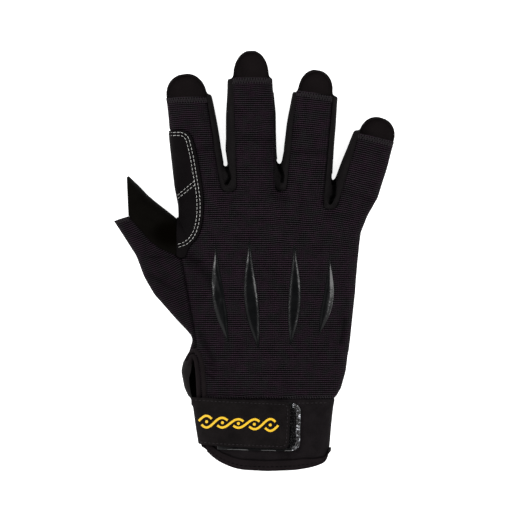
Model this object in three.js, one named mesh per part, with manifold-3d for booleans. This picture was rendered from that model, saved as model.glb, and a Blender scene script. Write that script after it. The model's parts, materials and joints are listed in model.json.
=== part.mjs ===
// A fingerless climbing glove for the right hand, lying palm down with its fingers along +Y and its thumb
// towards -X. The origin is the middle of the glove, on the surface that it lies on. Millimetres, +Z up.
//
// The empty glove is one hollow form: a palm, a cuff, four fingers and a thumb, each lofted through upright
// rings. Every panel is the stretch of that form's wall that lies inside the panel's outline seen from above.
import * as THREE from "three";
import { mergeVertices } from "three/addons/utils/BufferGeometryUtils.js";
import Module from "manifold-3d";

const wasm = await Module();
wasm.setup();

// Cloth thicknesses and clearances
const WALL = 1.6;
const SEAM_GAP = 0.3;
const PATCH_PROUD = 0.7;
const BINDING_PROUD = 0.8;
const FASTENER_THICKNESS = 1.0;
const STRAP_THICKNESS = 2.0;

// Hand
const PALM_WIDTH = 105;
const PALM_LENGTH = 118;
const PALM_HEIGHT = 23;
const SIDE_SEAM_HEIGHT = 5;
const TONGUE_HEIGHT = 3.6;
const WRIST_Y = -78.4;

// Cuff, its hem and the slit at the thumb's side of the wrist
const CUFF_WIDTH = 80;
const CUFF_LENGTH = 40.6;
const CUFF_HEIGHT = 21;
const HEM_WIDTH = 5;
const SLIT_LENGTH = 26;
const SLIT_WIDTH = 2.6;
const SLIT_BINDING_WIDTH = 5.6;
const SLIT_DEPTH = 13;

// Strap, and the fastener that it closes on
const STRAP_WIDTH = 26.8;
const STRAP_REACH = 53.6;
const STRAP_TILT = THREE.MathUtils.degToRad(-2.6);
const STRAP_CORNER_RADIUS = 4;
const STRAP_ROOT_HEIGHT = 3;
const FASTENER_WIDTH = 27.6;
const FASTENER_LENGTH = 47;
const FASTENER_SHOWS = 6.8;
const FASTENER_CORNER_RADIUS = 6;
const FASTENER_DEPTH = 10;

// The index finger's patch
const PATCH_LENGTH = 71;
const PATCH_WIDTH = 12.5;

// Faceting
const PALM_SIDES = 30;
const FINGER_SIDES = 18;
const ARC_STEPS = 5;

// Fingers. A length runs from the knuckle, inside the hand, to the open end; the tongue is the tab of palm
// cloth beyond that. Knuckles are placed by shares of the palm's width and length, leans are degrees towards
// the little finger, and seams are shares of the half width, where the knit back meets the side strips. The
// root is the share of the width where the fingers part.
const PAST_EDGE = 1.6;
const FINGERS = [
  {
    name: "index", length: 73, width: 28.6, height: 17, tongue: 13.2, lean: -8.2,
    knuckleAcross: -0.26, knuckleAlong: 0.837, seamLeft: -PAST_EDGE, seamRight: 0.68, root: 1.03,
  },
  {
    name: "middle", length: 82.6, width: 28.2, height: 17.5, tongue: 16.4, lean: -0.4,
    knuckleAcross: -0.019, knuckleAlong: 0.836, seamLeft: -0.7, seamRight: 0.84, root: 1.13,
  },
  {
    name: "ring", length: 75, width: 27.8, height: 17, tongue: 14.2, lean: 6.6,
    knuckleAcross: 0.249, knuckleAlong: 0.836, seamLeft: -0.76, seamRight: 0.74, root: 1.13,
  },
  {
    name: "little", length: 65, width: 26.2, height: 15.5, tongue: 11.6, lean: 19,
    knuckleAcross: 0.443, knuckleAlong: 0.743, seamLeft: -0.6, seamRight: PAST_EDGE, root: 0.96,
  },
];
// How far along the finger, and the shares of its width and height. The first sections follow its root.
const FINGER_SECTIONS = [
  { along: 0.0, wide: 0.9, high: 0.86, atRoot: true },
  { along: 0.32, wide: 1.0, high: 1.0, atRoot: true },
  { along: 0.5, wide: 1.0, high: 1.0 },
  { along: 0.75, wide: 0.97, high: 0.96 },
  { along: 1.0, wide: 0.9, high: 0.88 },
];
// How far along the tongue, and the shares of the finger's width and height.
const TONGUE_SECTIONS = [
  { along: 0.3, wide: 0.8, high: 0.8 },
  { along: 0.6, wide: 0.68, high: 0.7 },
  { along: 0.85, wide: 0.48, high: 0.6 },
  { along: 1.0, wide: 0.22, high: 0.5 },
];

// Palm. Along and slant are shares of PALM_LENGTH from the wrist, left and right are shares of PALM_WIDTH
// from the middle, high is the share of PALM_HEIGHT. The slant is how far the right end lies behind.
const PALM_SECTIONS = [
  { along: 0.0, left: -0.35, right: 0.434, high: 0.92, slant: 0 },
  { along: 0.05, left: -0.375, right: 0.467, high: 0.96, slant: 0 },
  { along: 0.136, left: -0.388, right: 0.49, high: 1.0, slant: 0 },
  { along: 0.213, left: -0.362, right: 0.503, high: 1.0, slant: 0 },
  { along: 0.28, left: -0.34, right: 0.512, high: 1.0, slant: 0 },
  { along: 0.377, left: -0.37, right: 0.527, high: 1.0, slant: 0 },
  { along: 0.522, left: -0.4, right: 0.546, high: 1.0, slant: 0 },
  { along: 0.667, left: -0.41, right: 0.555, high: 0.98, slant: 0.01 },
  { along: 0.83, left: -0.408, right: 0.575, high: 0.92, slant: 0.04 },
  { along: 0.93, left: -0.414, right: 0.588, high: 0.84, slant: 0.08 },
  { along: 1.0, left: -0.42, right: 0.594, high: 0.76, slant: 0.11 },
  { along: 1.035, left: -0.4, right: 0.57, high: 0.6, slant: 0.12 },
  { along: 1.055, left: -0.37, right: 0.54, high: 0.36, slant: 0.12 },
];
const SLANT_LEFT = 0.15;
// Cuff, from its lower end up, as shares of CUFF_LENGTH below the wrist, CUFF_WIDTH and CUFF_HEIGHT.
const CUFF_SECTIONS = [
  { along: -1.05, left: -0.375, right: 0.512, high: 0.96 },
  { along: -0.72, left: -0.4, right: 0.527, high: 1.0 },
  { along: -0.36, left: -0.43, right: 0.548, high: 1.0 },
];
// Where the slits between the fingers end, as shares of PALM_WIDTH and PALM_LENGTH.
const WEBS = [
  { across: -0.147, along: 1.0 },
  { across: 0.134, along: 0.985 },
  { across: 0.407, along: 0.908 },
];

// Thumb. Its base and its seam to the hand are shares of PALM_WIDTH and PALM_LENGTH, its knit seam is a
// share of its half width, and its tongue's apex a share of its whole width.
const THUMB = { length: 67, width: 31, height: 21, tongue: 15.4, lean: -39, seam: -0.24, apex: 0.88 };
const THUMB_BASE = { across: -0.2714, along: 0.474 };
// How far along the thumb, its axis's shift as a share of its width, and the shares of width and height.
const THUMB_SECTIONS = [
  { along: -0.2, aside: 0.0, wide: 1.2, high: 0.9 },
  { along: 0.0, aside: 0.0, wide: 1.25, high: 0.95 },
  { along: 0.3, aside: 0.01, wide: 1.22, high: 0.98 },
  { along: 0.66, aside: 0.066, wide: 0.97, high: 1.0 },
  { along: 1.0, aside: 0.0, wide: 0.78, high: 0.92 },
  { along: 1.26, aside: 0.0, wide: 0.7, high: 0.84 },
];
const THUMB_SEAM = [
  { across: -0.5, along: 1.5 },
  { across: -0.5, along: 0.925 },
  { across: -0.424, along: 0.925 },
  { across: -0.424, along: 0.69 },
  { across: -0.396, along: 0.67 },
  { across: -0.364, along: 0.522 },
  { across: -0.329, along: 0.377 },
  { across: -0.311, along: 0.256 },
  { across: -0.335, along: 0.226 },
];

// Cross-section of a lying tube of cloth: a flat sole, sides fullest at the belly, and a domed back.
const BELLY = 0.4;
const SOLE_SPREAD = 1.06;
const SOLE_POWER = 0.5;
const DOME_POWER = 0.82;
const PALM_ROUNDNESS = 0.52;
const FINGER_ROUNDNESS = 0.72;

// Larger than the glove, for blocks that cut all the way through it
const FAR = 200;
const MERGE_DISTANCE = 1e-3;

const KNIT = { color: 0x1d181d, roughness: 0.92, metalness: 0 };
const STRIP = { color: 0x181818, roughness: 0.85, metalness: 0 };
const LEATHER = { color: 0x171616, roughness: 0.75, metalness: 0 };
const CUFF_CLOTH = { color: 0x1a1817, roughness: 0.9, metalness: 0 };
const BINDING = { color: 0x141414, roughness: 0.85, metalness: 0 };
const HOOKS = { color: 0x0c0c0d, roughness: 0.35, metalness: 0 };

const vector = (x, y) => new THREE.Vector2(x, y);
const onPalm = ({ across, along }) => vector(across * PALM_WIDTH, WRIST_Y + along * PALM_LENGTH);
const onCuff = ({ across, along }) => vector(across * CUFF_WIDTH, WRIST_Y + along * CUFF_LENGTH);
const joined = (...solids) => solids.reduce((sum, solid) => sum.add(solid));
const common = (...solids) => solids.reduce((rest, solid) => rest.intersect(solid));
const cut = (solid, ...tools) => tools.reduce((rest, tool) => rest.subtract(tool), solid);

// The direction of a lean, and the direction square to it towards the little finger's side.
function heading(lean) {
  const angle = THREE.MathUtils.degToRad(lean);
  const ahead = vector(Math.sin(angle), Math.cos(angle));
  return { ahead, aside: vector(ahead.y, -ahead.x) };
}

// The closed surface of a geometry as a solid.
function solidOf(geometry) {
  geometry.deleteAttribute("normal");
  geometry.deleteAttribute("uv");
  const merged = mergeVertices(geometry, MERGE_DISTANCE);
  return new wasm.Manifold(
    new wasm.Mesh({
      numProp: 3,
      vertProperties: new Float32Array(merged.attributes.position.array),
      triVerts: new Uint32Array(merged.index.array),
    }),
  );
}

// A named mesh of a solid.
function piece(name, solid, finish) {
  const data = solid.getMesh();
  const geometry = new THREE.BufferGeometry();
  geometry.setAttribute("position", new THREE.BufferAttribute(data.vertProperties, 3));
  geometry.setIndex(new THREE.BufferAttribute(data.triVerts, 1));
  geometry.computeVertexNormals();
  const mesh = new THREE.Mesh(geometry, new THREE.MeshStandardMaterial(finish));
  mesh.name = name;
  return mesh;
}

// One upright ring through a left and a right point. An offset moves all of it outwards.
function ring(section, offset, sides, roundness) {
  const { left, right, height, lift = 0 } = section;
  const middle = left.clone().lerp(right, 0.5);
  const across = right.clone().sub(left).normalize();
  const half = left.distanceTo(right) / 2 + offset;
  const belly = lift + (height - lift) * BELLY;
  const top = height + offset - belly;
  const sole = belly - lift + offset;
  return Array.from({ length: sides }, (_, i) => {
    const angle = (2 * Math.PI * i) / sides;
    const out = half * Math.sign(Math.cos(angle)) * Math.abs(Math.cos(angle)) ** roundness;
    const rise = Math.sin(angle);
    const up = top * Math.max(rise, 0) ** DOME_POWER;
    const down = sole * Math.min(1, SOLE_SPREAD * Math.max(-rise, 0) ** SOLE_POWER);
    return new THREE.Vector3(middle.x + across.x * out, middle.y + across.y * out, belly + up - down);
  });
}

// A closed solid through rings that have equally many points.
function loft(rings) {
  const sides = rings[0].length;
  const points = rings.flat();
  const middle = (row) => row.reduce((sum, p) => sum.add(p), new THREE.Vector3()).divideScalar(sides);
  const first = points.push(middle(rings[0])) - 1;
  const last = points.push(middle(rings.at(-1))) - 1;
  const end = (rings.length - 1) * sides;
  const index = [];
  for (let i = 0; i < sides; i++) {
    const next = (i + 1) % sides;
    for (let row = 0; row < end; row += sides) {
      index.push(row + i, row + sides + next, row + next);
      index.push(row + i, row + sides + i, row + sides + next);
    }
    index.push(first, i, next);
    index.push(last, end + next, end + i);
  }
  const geometry = new THREE.BufferGeometry().setFromPoints(points);
  geometry.setIndex(index);
  return solidOf(geometry);
}

// An upright block with an outline seen from above.
function prism(outline, low = -FAR) {
  const shape = outline instanceof THREE.Shape ? outline : new THREE.Shape(outline);
  const settings = { depth: FAR - low, bevelEnabled: false, curveSegments: ARC_STEPS };
  return solidOf(new THREE.ExtrudeGeometry(shape, settings).translate(0, 0, low));
}

// A square block between two corners.
function block(low, high) {
  const [from, to] = [new THREE.Vector3(...low), new THREE.Vector3(...high)];
  const size = to.clone().sub(from);
  const middle = from.lerp(to, 0.5);
  return solidOf(new THREE.BoxGeometry(...size).translate(...middle));
}

const above = (z) => block([-FAR, -FAR, z], [FAR, FAR, FAR]);
const below = (z) => block([-FAR, -FAR, -FAR], [FAR, FAR, z]);

// A section square to a heading, with its ends at equal distances left and right of a point.
function sectionAt(middle, lean, width, height) {
  const reach = heading(lean).aside.multiplyScalar(width / 2);
  return { left: middle.clone().sub(reach), right: middle.clone().add(reach), height };
}

// The point at a distance along a finger from its knuckle, and sideways from its axis.
function onFinger(finger, distance, sideways) {
  const { ahead, aside } = heading(finger.lean);
  const knuckle = onPalm({ across: finger.knuckleAcross, along: finger.knuckleAlong });
  return knuckle.addScaledVector(ahead, distance).addScaledVector(aside, sideways);
}

function fingerForm(finger, offset) {
  const reach = finger.tongue + offset;
  const tube = FINGER_SECTIONS.map((s) => ({ ...s, distance: s.along * finger.length }));
  const tongue = TONGUE_SECTIONS.map((s) => ({ ...s, distance: finger.length + s.along * reach }));
  const rings = [...tube, ...tongue].map((s) => {
    const middle = onFinger(finger, s.distance, 0);
    const width = s.wide * finger.width * (s.atRoot ? finger.root : 1);
    const section = sectionAt(middle, finger.lean, width, s.high * finger.height);
    return ring(section, offset, FINGER_SIDES, FINGER_ROUNDNESS);
  });
  return loft(rings);
}

// The point at a distance along the thumb from its base, and sideways from its middle line.
function onThumb(distance, sideways) {
  const { ahead, aside } = heading(THUMB.lean);
  return onPalm(THUMB_BASE).addScaledVector(ahead, distance).addScaledVector(aside, sideways);
}

function thumbForm(offset) {
  const rings = THUMB_SECTIONS.map((s) => {
    const middle = onThumb(s.along * THUMB.length, s.aside * THUMB.width);
    const section = sectionAt(middle, THUMB.lean, s.wide * THUMB.width, s.high * THUMB.height);
    return ring(section, offset, FINGER_SIDES, FINGER_ROUNDNESS);
  });
  return loft(rings);
}

// The palm and the cuff. The inner form runs further out than the outer one at the cuff's mouth.
function palmForm(offset) {
  const cuff = CUFF_SECTIONS.map((s) => ({
    left: onCuff({ across: s.left, along: s.along }),
    right: onCuff({ across: s.right, along: s.along }),
    height: s.high * CUFF_HEIGHT,
    lift: BINDING_PROUD,
  }));
  const palm = PALM_SECTIONS.map((s) => ({
    left: onPalm({ across: s.left, along: s.along + s.slant * SLANT_LEFT }),
    right: onPalm({ across: s.right, along: s.along - s.slant * (1 - SLANT_LEFT) }),
    height: s.high * PALM_HEIGHT,
  }));
  const front = palm.at(-1);
  front.left.y += offset;
  front.right.y += offset;
  const out = vector(0, offset - CUFF_LENGTH);
  const mouth = { ...cuff[0], left: cuff[0].left.clone().add(out), right: cuff[0].right.clone().add(out) };
  return loft([mouth, ...cuff, ...palm].map((row) => ring(row, offset, PALM_SIDES, PALM_ROUNDNESS)));
}

function gloveForm(offset) {
  const fingers = FINGERS.map((finger) => fingerForm(finger, offset));
  return joined(palmForm(offset), ...fingers, thumbForm(offset));
}

// A stretch of a finger, seen from above, between two lines along it.
function fingerZone(finger, from, to, left, right) {
  return prism([
    onFinger(finger, from, left), onFinger(finger, from, right),
    onFinger(finger, to, right), onFinger(finger, to, left),
  ]);
}

// The knit back of the hand and fingers, up to the side strips.
function knitZone(grow) {
  const webs = WEBS.map((web) => onPalm(web).add(vector(0, grow)));
  const hand = prism([
    vector(-FAR, -FAR), vector(FAR, -FAR), vector(FAR, webs[2].y), webs[2], webs[1], webs[0],
    vector(-FAR, webs[0].y),
  ]);
  const fingers = FINGERS.map((finger) => {
    const half = finger.width / 2;
    const [left, right] = [finger.seamLeft * half - grow, finger.seamRight * half + grow];
    return fingerZone(finger, 0, finger.length + grow, left, right);
  });
  return joined(hand, ...fingers);
}

// What lies between the axes of two neighbouring fingers, in front of their knuckles.
function betweenZone(one, other) {
  const reach = Math.max(one.length + one.tongue, other.length + other.tongue);
  return prism([
    onFinger(one, 0, 0), onFinger(other, 0, 0), onFinger(other, reach, 0), onFinger(one, reach, 0),
  ]);
}

// In front of the fingers' open ends, where only the tongues go on.
const TONGUE_ZONE_WIDE = 0.65;
const beyondFingers = joined(
  ...FINGERS.map((finger) => {
    const side = TONGUE_ZONE_WIDE * finger.width;
    return fingerZone(finger, finger.length, finger.length + 2 * finger.tongue, -side, side);
  }),
);

// The thumb's side of its seam to the hand. A grown zone reaches further into the hand.
function thumbZone(grow) {
  const seam = THUMB_SEAM.map((point) => onPalm(point).add(vector(grow, 0)));
  return prism([...seam, vector(-FAR, seam.at(-1).y - grow), vector(-FAR, seam[0].y)]);
}

// The thumb's knit side: left of its seam and behind its open end.
const KNIT_SEAM_START = 0.2;
function thumbKnitZone(grow) {
  const seam = (THUMB.seam * THUMB.width) / 2;
  const open = THUMB.length + grow;
  return prism([
    onThumb(-THUMB.length, -FAR), onThumb(-THUMB.length, -seam * KNIT_SEAM_START + grow),
    onThumb(open, seam + grow), onThumb(open, -FAR),
  ]);
}

// Behind the thumb's open end, and the pointed tongue in front of it.
function thumbReachZone() {
  const side = THUMB.width / 2;
  const apex = (THUMB.apex - 0.5) * THUMB.width;
  const tube = [
    onThumb(-THUMB.length, -FAR), onThumb(-THUMB.length, FAR),
    onThumb(THUMB.length, FAR), onThumb(THUMB.length, -FAR),
  ];
  const tongue = [
    onThumb(THUMB.length - WALL, THUMB.seam * side), onThumb(THUMB.length - WALL, 2 * side),
    onThumb(THUMB.length + THUMB.tongue / 2, 2 * side), onThumb(THUMB.length + THUMB.tongue, apex),
  ];
  return joined(prism(tube), prism(tongue));
}

// Above the glove's lower edge: level at the thumb's side, then round and out to the far side.
function hemZone(inset) {
  const side = CUFF_WIDTH / 2;
  const low = WRIST_Y - CUFF_LENGTH + inset;
  const level = low + CUFF_LENGTH / 3;
  const farLow = low + HEM_WIDTH / 2;
  const shape = new THREE.Shape();
  shape.moveTo(-FAR, FAR);
  shape.lineTo(-FAR, level);
  shape.lineTo(-0.84 * side, level);
  shape.quadraticCurveTo(-0.55 * side, low, 0, low);
  shape.lineTo(0.85 * side, farLow);
  shape.quadraticCurveTo(side, farLow, 1.06 * side, farLow + HEM_WIDTH);
  shape.lineTo(FAR, farLow + HEM_WIDTH);
  shape.lineTo(FAR, FAR);
  return prism(shape);
}

// The slit through the wrist's back, from beside the thumb down through the cuff.
const SLIT_CUFF_POINTS = [
  { across: -0.4375, along: 0 },
  { across: -0.35, along: -1 },
  { across: -0.33, along: -1.5 },
];
function slitZone(widenLeft, widenRight, lengthen) {
  const top = vector(THUMB_SEAM.at(-2).across * PALM_WIDTH - SLIT_WIDTH / 2, WRIST_Y + SLIT_LENGTH);
  const low = SLIT_CUFF_POINTS.map(onCuff);
  const centres = [top.clone().add(vector(0, lengthen)), top.lerp(low[0], 0.4), ...low];
  const edge = (side, widen) =>
    centres.map((point, i) => point.clone().add(vector((side * SLIT_WIDTH) / 2 * Math.min(i, 1) + widen, 0)));
  return prism([...edge(-1, -widenLeft), ...edge(1, widenRight).toReversed()], SLIT_DEPTH);
}

// A tab whose right end has round corners, turned about that end's middle.
function tab(right, middleY, length, width, radius, tilt) {
  const half = width / 2;
  const shape = new THREE.Shape();
  shape.moveTo(-length, -half);
  shape.lineTo(-radius, -half);
  shape.absarc(-radius, radius - half, radius, -Math.PI / 2, 0);
  shape.absarc(-radius, half - radius, radius, 0, Math.PI / 2);
  shape.lineTo(-length, half);
  const turned = shape.getPoints(ARC_STEPS).map((p) => p.rotateAround(vector(0, 0), tilt));
  return turned.map((p) => p.add(vector(right, middleY)));
}

// The patch on the index finger's outer side: level at its top, and curled in at its lower end.
const PATCH_TOP = 0.73;
const PATCH_ROUND = 5;
function patchZone(grow) {
  const finger = FINGERS[0];
  const top = finger.length * PATCH_TOP;
  const low = top - PATCH_LENGTH;
  const inner = PATCH_WIDTH - finger.width / 2;
  const at = (distance, sideways) => onFinger(finger, distance, sideways).toArray();
  const shape = new THREE.Shape();
  shape.moveTo(...at(top + grow, -finger.width));
  shape.lineTo(...at(top + grow, inner - PATCH_ROUND));
  shape.quadraticCurveTo(...at(top + grow, inner + grow), ...at(top - PATCH_ROUND, inner + grow));
  shape.lineTo(...at(top / 2, inner + grow));
  shape.quadraticCurveTo(...at(0, inner + grow), ...at(low - grow, inner - 2 * PATCH_ROUND));
  shape.lineTo(...at(low - grow, -2 * finger.width));
  return prism(shape);
}

const seamHalf = SEAM_GAP / 2;
const inside = gloveForm(-WALL);
const wall = gloveForm(0).subtract(inside);
const upper = wall.intersect(above(SIDE_SEAM_HEIGHT + seamHalf)).subtract(beyondFingers);
const lower = cut(wall, above(SIDE_SEAM_HEIGHT - seamHalf), above(TONGUE_HEIGHT).intersect(beyondFingers));
const cuffZone = (grow) => block([-FAR, -FAR, -FAR], [FAR, WRIST_Y + grow, FAR]);
const besideSlit = block(
  [-FAR, WRIST_Y, -FAR],
  [THUMB_SEAM.at(-2).across * PALM_WIDTH, WRIST_Y + SLIT_LENGTH + SLIT_WIDTH, FAR],
);
const boundSlit = slitZone(0, SLIT_BINDING_WIDTH + SEAM_GAP, SEAM_GAP + SLIT_BINDING_WIDTH);

function backPanel() {
  const back = upper.intersect(knitZone(0));
  return cut(back, thumbZone(seamHalf), cuffZone(seamHalf), patchZone(SEAM_GAP), besideSlit, boundSlit);
}

// The palm, the undersides of the fingers, their tongues, and the flap that wraps up beside the slit.
function palmPanel() {
  const flap = cut(wall.intersect(besideSlit), slitZone(SEAM_GAP, FAR, SLIT_BINDING_WIDTH + SEAM_GAP));
  return cut(joined(lower, flap), thumbZone(seamHalf), cuffZone(seamHalf));
}

function sideStrip(one, other) {
  return cut(upper.intersect(betweenZone(one, other)), knitZone(SEAM_GAP));
}

function indexPatch() {
  const outer = joined(palmForm(PATCH_PROUD), fingerForm(FINGERS[0], PATCH_PROUD));
  const proud = outer.subtract(inside).intersect(above(SIDE_SEAM_HEIGHT + seamHalf));
  return cut(proud.intersect(patchZone(0)), thumbZone(seamHalf), beyondFingers);
}

function thumbBack() {
  return common(upper, thumbZone(-seamHalf), thumbKnitZone(-seamHalf));
}

function thumbPalm() {
  const knit = thumbKnitZone(seamHalf).intersect(above(SIDE_SEAM_HEIGHT - seamHalf));
  return cut(common(wall, thumbZone(-seamHalf), thumbReachZone()), knit);
}

function cuff() {
  return cut(common(wall, cuffZone(-seamHalf), hemZone(HEM_WIDTH + SEAM_GAP)), boundSlit);
}

const boundWall = palmForm(BINDING_PROUD).subtract(inside);

function cuffBinding() {
  return cut(common(boundWall, cuffZone(-seamHalf), hemZone(0)), hemZone(HEM_WIDTH), boundSlit);
}

function slitBinding() {
  const band = common(boundWall, slitZone(0, SLIT_BINDING_WIDTH, SLIT_BINDING_WIDTH), hemZone(0));
  return cut(band, slitZone(FAR, 0, 0), thumbZone(seamHalf), besideSlit.subtract(boundSlit));
}

const strapTip = CUFF_SECTIONS[2].left * CUFF_WIDTH + STRAP_REACH;
const strapMiddle = WRIST_Y - CUFF_LENGTH * 0.4;

function fastenerPatch() {
  const right = strapTip + FASTENER_SHOWS;
  const outline = tab(right, strapMiddle, FASTENER_LENGTH, FASTENER_WIDTH, FASTENER_CORNER_RADIUS, 0);
  const sheet = palmForm(SEAM_GAP + FASTENER_THICKNESS).subtract(palmForm(SEAM_GAP));
  const hem = hemZone(0).subtract(hemZone(HEM_WIDTH + SEAM_GAP));
  return cut(sheet.intersect(prism(outline, FASTENER_DEPTH)), hem, boundSlit);
}

function wristStrap() {
  const clear = 2 * SEAM_GAP + FASTENER_THICKNESS;
  const outline = tab(strapTip, strapMiddle, CUFF_WIDTH, STRAP_WIDTH, STRAP_CORNER_RADIUS, STRAP_TILT);
  const sheet = palmForm(clear + STRAP_THICKNESS).subtract(palmForm(clear));
  return sheet.intersect(prism(outline, STRAP_ROOT_HEIGHT));
}

const sideStrips = FINGERS.slice(1).map((finger, i) =>
  piece(`side_strip_${FINGERS[i].name}_${finger.name}`, sideStrip(FINGERS[i], finger), STRIP),
);
const glove = new THREE.Group();
glove.add(
  piece("back_panel", backPanel(), KNIT),
  piece("palm_panel", palmPanel(), LEATHER),
  ...sideStrips,
  piece("index_patch", indexPatch(), LEATHER),
  piece("thumb_back", thumbBack(), KNIT),
  piece("thumb_palm", thumbPalm(), LEATHER),
  piece("cuff", cuff(), CUFF_CLOTH),
  piece("cuff_binding", cuffBinding(), BINDING),
  piece("slit_binding", slitBinding(), BINDING),
  piece("fastener_patch", fastenerPatch(), HOOKS),
  piece("wrist_strap", wristStrap(), BINDING),
);

export default glove;
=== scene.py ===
# %% [markdown]
# # An open-fingered climbing glove
# The glove lies palm down, empty, with its fingers pointing up the picture. It is sewn from thin panels: a
# ribbed knit back, a smooth palm that runs on as a tongue past each open finger, matte strips between the
# fingers, a patch along the index finger, a cuff with a folded hem, and a hook-and-loop strap.
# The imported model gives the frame: every piece made here stands where its plain solid does, in metres.

# %% Load the frame
import json
import math
import random
import bpy
import numpy as np
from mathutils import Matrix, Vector
from mathutils.bvhtree import BVHTree

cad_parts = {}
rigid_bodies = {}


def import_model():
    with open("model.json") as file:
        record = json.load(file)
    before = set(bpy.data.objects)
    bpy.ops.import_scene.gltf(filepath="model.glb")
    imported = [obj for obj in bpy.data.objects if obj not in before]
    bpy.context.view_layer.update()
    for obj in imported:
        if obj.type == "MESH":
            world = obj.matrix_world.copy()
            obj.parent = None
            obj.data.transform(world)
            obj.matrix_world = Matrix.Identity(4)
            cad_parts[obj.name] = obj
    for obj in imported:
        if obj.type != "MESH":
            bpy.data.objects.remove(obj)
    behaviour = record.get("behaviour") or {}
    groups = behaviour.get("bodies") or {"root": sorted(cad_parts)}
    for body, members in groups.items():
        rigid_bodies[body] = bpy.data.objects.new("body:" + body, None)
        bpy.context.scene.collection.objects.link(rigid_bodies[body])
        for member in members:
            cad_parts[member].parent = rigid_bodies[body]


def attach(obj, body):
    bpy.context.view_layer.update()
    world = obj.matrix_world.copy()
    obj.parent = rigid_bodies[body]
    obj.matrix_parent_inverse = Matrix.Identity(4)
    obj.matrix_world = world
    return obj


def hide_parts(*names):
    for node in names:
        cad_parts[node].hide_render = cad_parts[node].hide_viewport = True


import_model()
for name in ("Cube", "Light", "Camera"):
    if name in bpy.data.objects:
        bpy.data.objects.remove(bpy.data.objects[name], do_unlink=True)
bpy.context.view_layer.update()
MM = 0.001

# %% [markdown]
# ## Sizes
# A glover starts from a hand form, not from the panels. Its sizes are written once, in millimetres, and each
# panel is later cut out of the same form, so all the seams meet. Leans are degrees towards the little finger.
# A seam is a share of the finger's half width: there the knit back meets the strip beside it.

# %% The hand's sizes
WALL = 1.6
TONGUE_RIM = 0.7
SIDE_SEAM = 5.0
WRIST_Y = -78.4
PALM_HEIGHT = 23.0
CUFF_HEIGHT = 21.0
FINGERS = [
    dict(name="index", knuckle=(-27.3, 20.4), lean=-8.2, length=73.2, width=28.8, height=17.0, root=1.03,
         tongue=14.2, tongue_wide=23.6, tongue_aside=-1.2, hem_slope=-0.13, rib_lean=-3.0),
    dict(name="middle", knuckle=(-1.8, 20.2), lean=-0.4, length=83.6, width=29.6, height=17.5, root=1.07,
         tongue=16.3, tongue_wide=20.8, tongue_aside=0.3, hem_slope=0.0, rib_lean=0.0),
    dict(name="ring", knuckle=(25.7, 20.2), lean=6.6, length=75.4, width=29.0, height=17.0, root=1.08,
         tongue=13.8, tongue_wide=20.2, tongue_aside=-0.1, hem_slope=-0.06, rib_lean=6.0),
    dict(name="little", knuckle=(46.4, 9.3), lean=19.4, length=64.8, width=26.6, height=15.5, root=0.86,
         tongue=12.0, tongue_wide=20.8, tongue_aside=1.3, hem_slope=0.10, rib_lean=13.0),
]
# The gap between the index and the middle finger runs on down to a point, from its top to its bottom end.
WEB_GAP = ((-17.6, 62.0), (-16.6, 54.2))
WEB_GAP_HALF = 1.0
# The deep crease that each web closes to, as a line from its open end down.
CREASES = [[(-16.6, 54.8), (-16.0, 51.6), (-14.9, 48.8), (-14.8, 46.6), (-16.2, 43.8)],
           [(13.2, 56.6), (14.4, 52.0), (15.5, 48.4), (15.2, 45.0)],
           [(44.4, 48.2), (45.0, 42.4), (44.8, 37.4), (42.8, 33.0)]]
# How far along the finger, and the shares of its width and height there.
FINGER_ROWS = [(0.0, 0.90, 0.86), (0.18, 0.97, 0.95), (0.32, 1.0, 1.0), (0.5, 1.0, 1.0), (0.75, 0.97, 0.96),
               (1.0, 0.9, 0.88)]
# How far along the finger its own root share widens it.
ROOT_ENDS = 0.4
# The same along the tongue, with the share of the tongue's width.
TONGUE_ROWS = [(0.06, 1.0, 0.84), (0.35, 0.97, 0.76), (0.6, 0.86, 0.68), (0.8, 0.68, 0.6), (0.92, 0.48, 0.54),
               (1.0, 0.24, 0.5)]
# The palm from the wrist to the knuckles: left end x and y, right end x and y, and the height.
PALM_ROWS = [
    (-37.4, -78.4, 45.6, -78.4, 0.92), (-40.2, -72.4, 49.0, -72.5, 0.96), (-42.1, -63.0, 51.5, -62.4, 1.0),
    (-40.9, -57.6, 52.2, -57.6, 1.0), (-38.0, -53.3, 52.8, -53.3, 1.0), (-35.7, -45.4, 53.8, -45.4, 1.0),
    (-38.8, -33.9, 55.3, -33.9, 1.0), (-42.0, -16.8, 57.3, -16.8, 1.0), (-43.0, 0.5, 58.3, -0.7, 0.98),
    (-42.8, 20.2, 60.4, 15.5, 0.92), (-43.5, 33.0, 61.7, 23.0, 0.84), (-44.1, 41.0, 62.4, 28.0, 0.76),
    (-42.0, 45.0, 59.8, 31.6, 0.58), (-38.9, 48.0, 56.7, 34.0, 0.34),
]
# The cuff from its mouth to the wrist: y, left x, right x and the share of its height.
CUFF_ROWS = [(-124.0, -27.0, 41.0, 0.95), (-107.6, -29.3, 42.2, 1.0), (-93.0, -31.6, 43.8, 1.0),
             (-83.0, -33.0, 44.7, 0.98)]
CUFF_LIFT = 0.8
THUMB = dict(base=(-28.5, -22.5), lean=-39.0, length=67.0, width=31.0, height=21.0, tongue=15.4)
# How far along the thumb, how far aside in shares of its width, and the shares of its width and height.
THUMB_ROWS = [
    (-0.2, 0.0, 1.2, 0.9), (0.0, 0.0, 1.25, 0.95), (0.3, -0.02, 1.27, 0.98), (0.48, -0.01, 1.19, 1.0),
    (0.66, 0.04, 1.03, 1.0), (1.0, 0.0, 0.78, 0.92), (1.34, 0.0, 0.68, 0.8),
]
# The thumb's seam to the hand, from in front of the glove down to the wrist.
THUMB_SEAM = [
    (-52.5, 98.6), (-52.5, 30.8), (-44.5, 30.8), (-44.5, 3.0), (-41.6, 1.0), (-38.4, -16.8), (-35.4, -33.9),
    (-33.6, -46.0), (-33.4, -48.2), (-35.2, -51.7),
]

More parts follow.
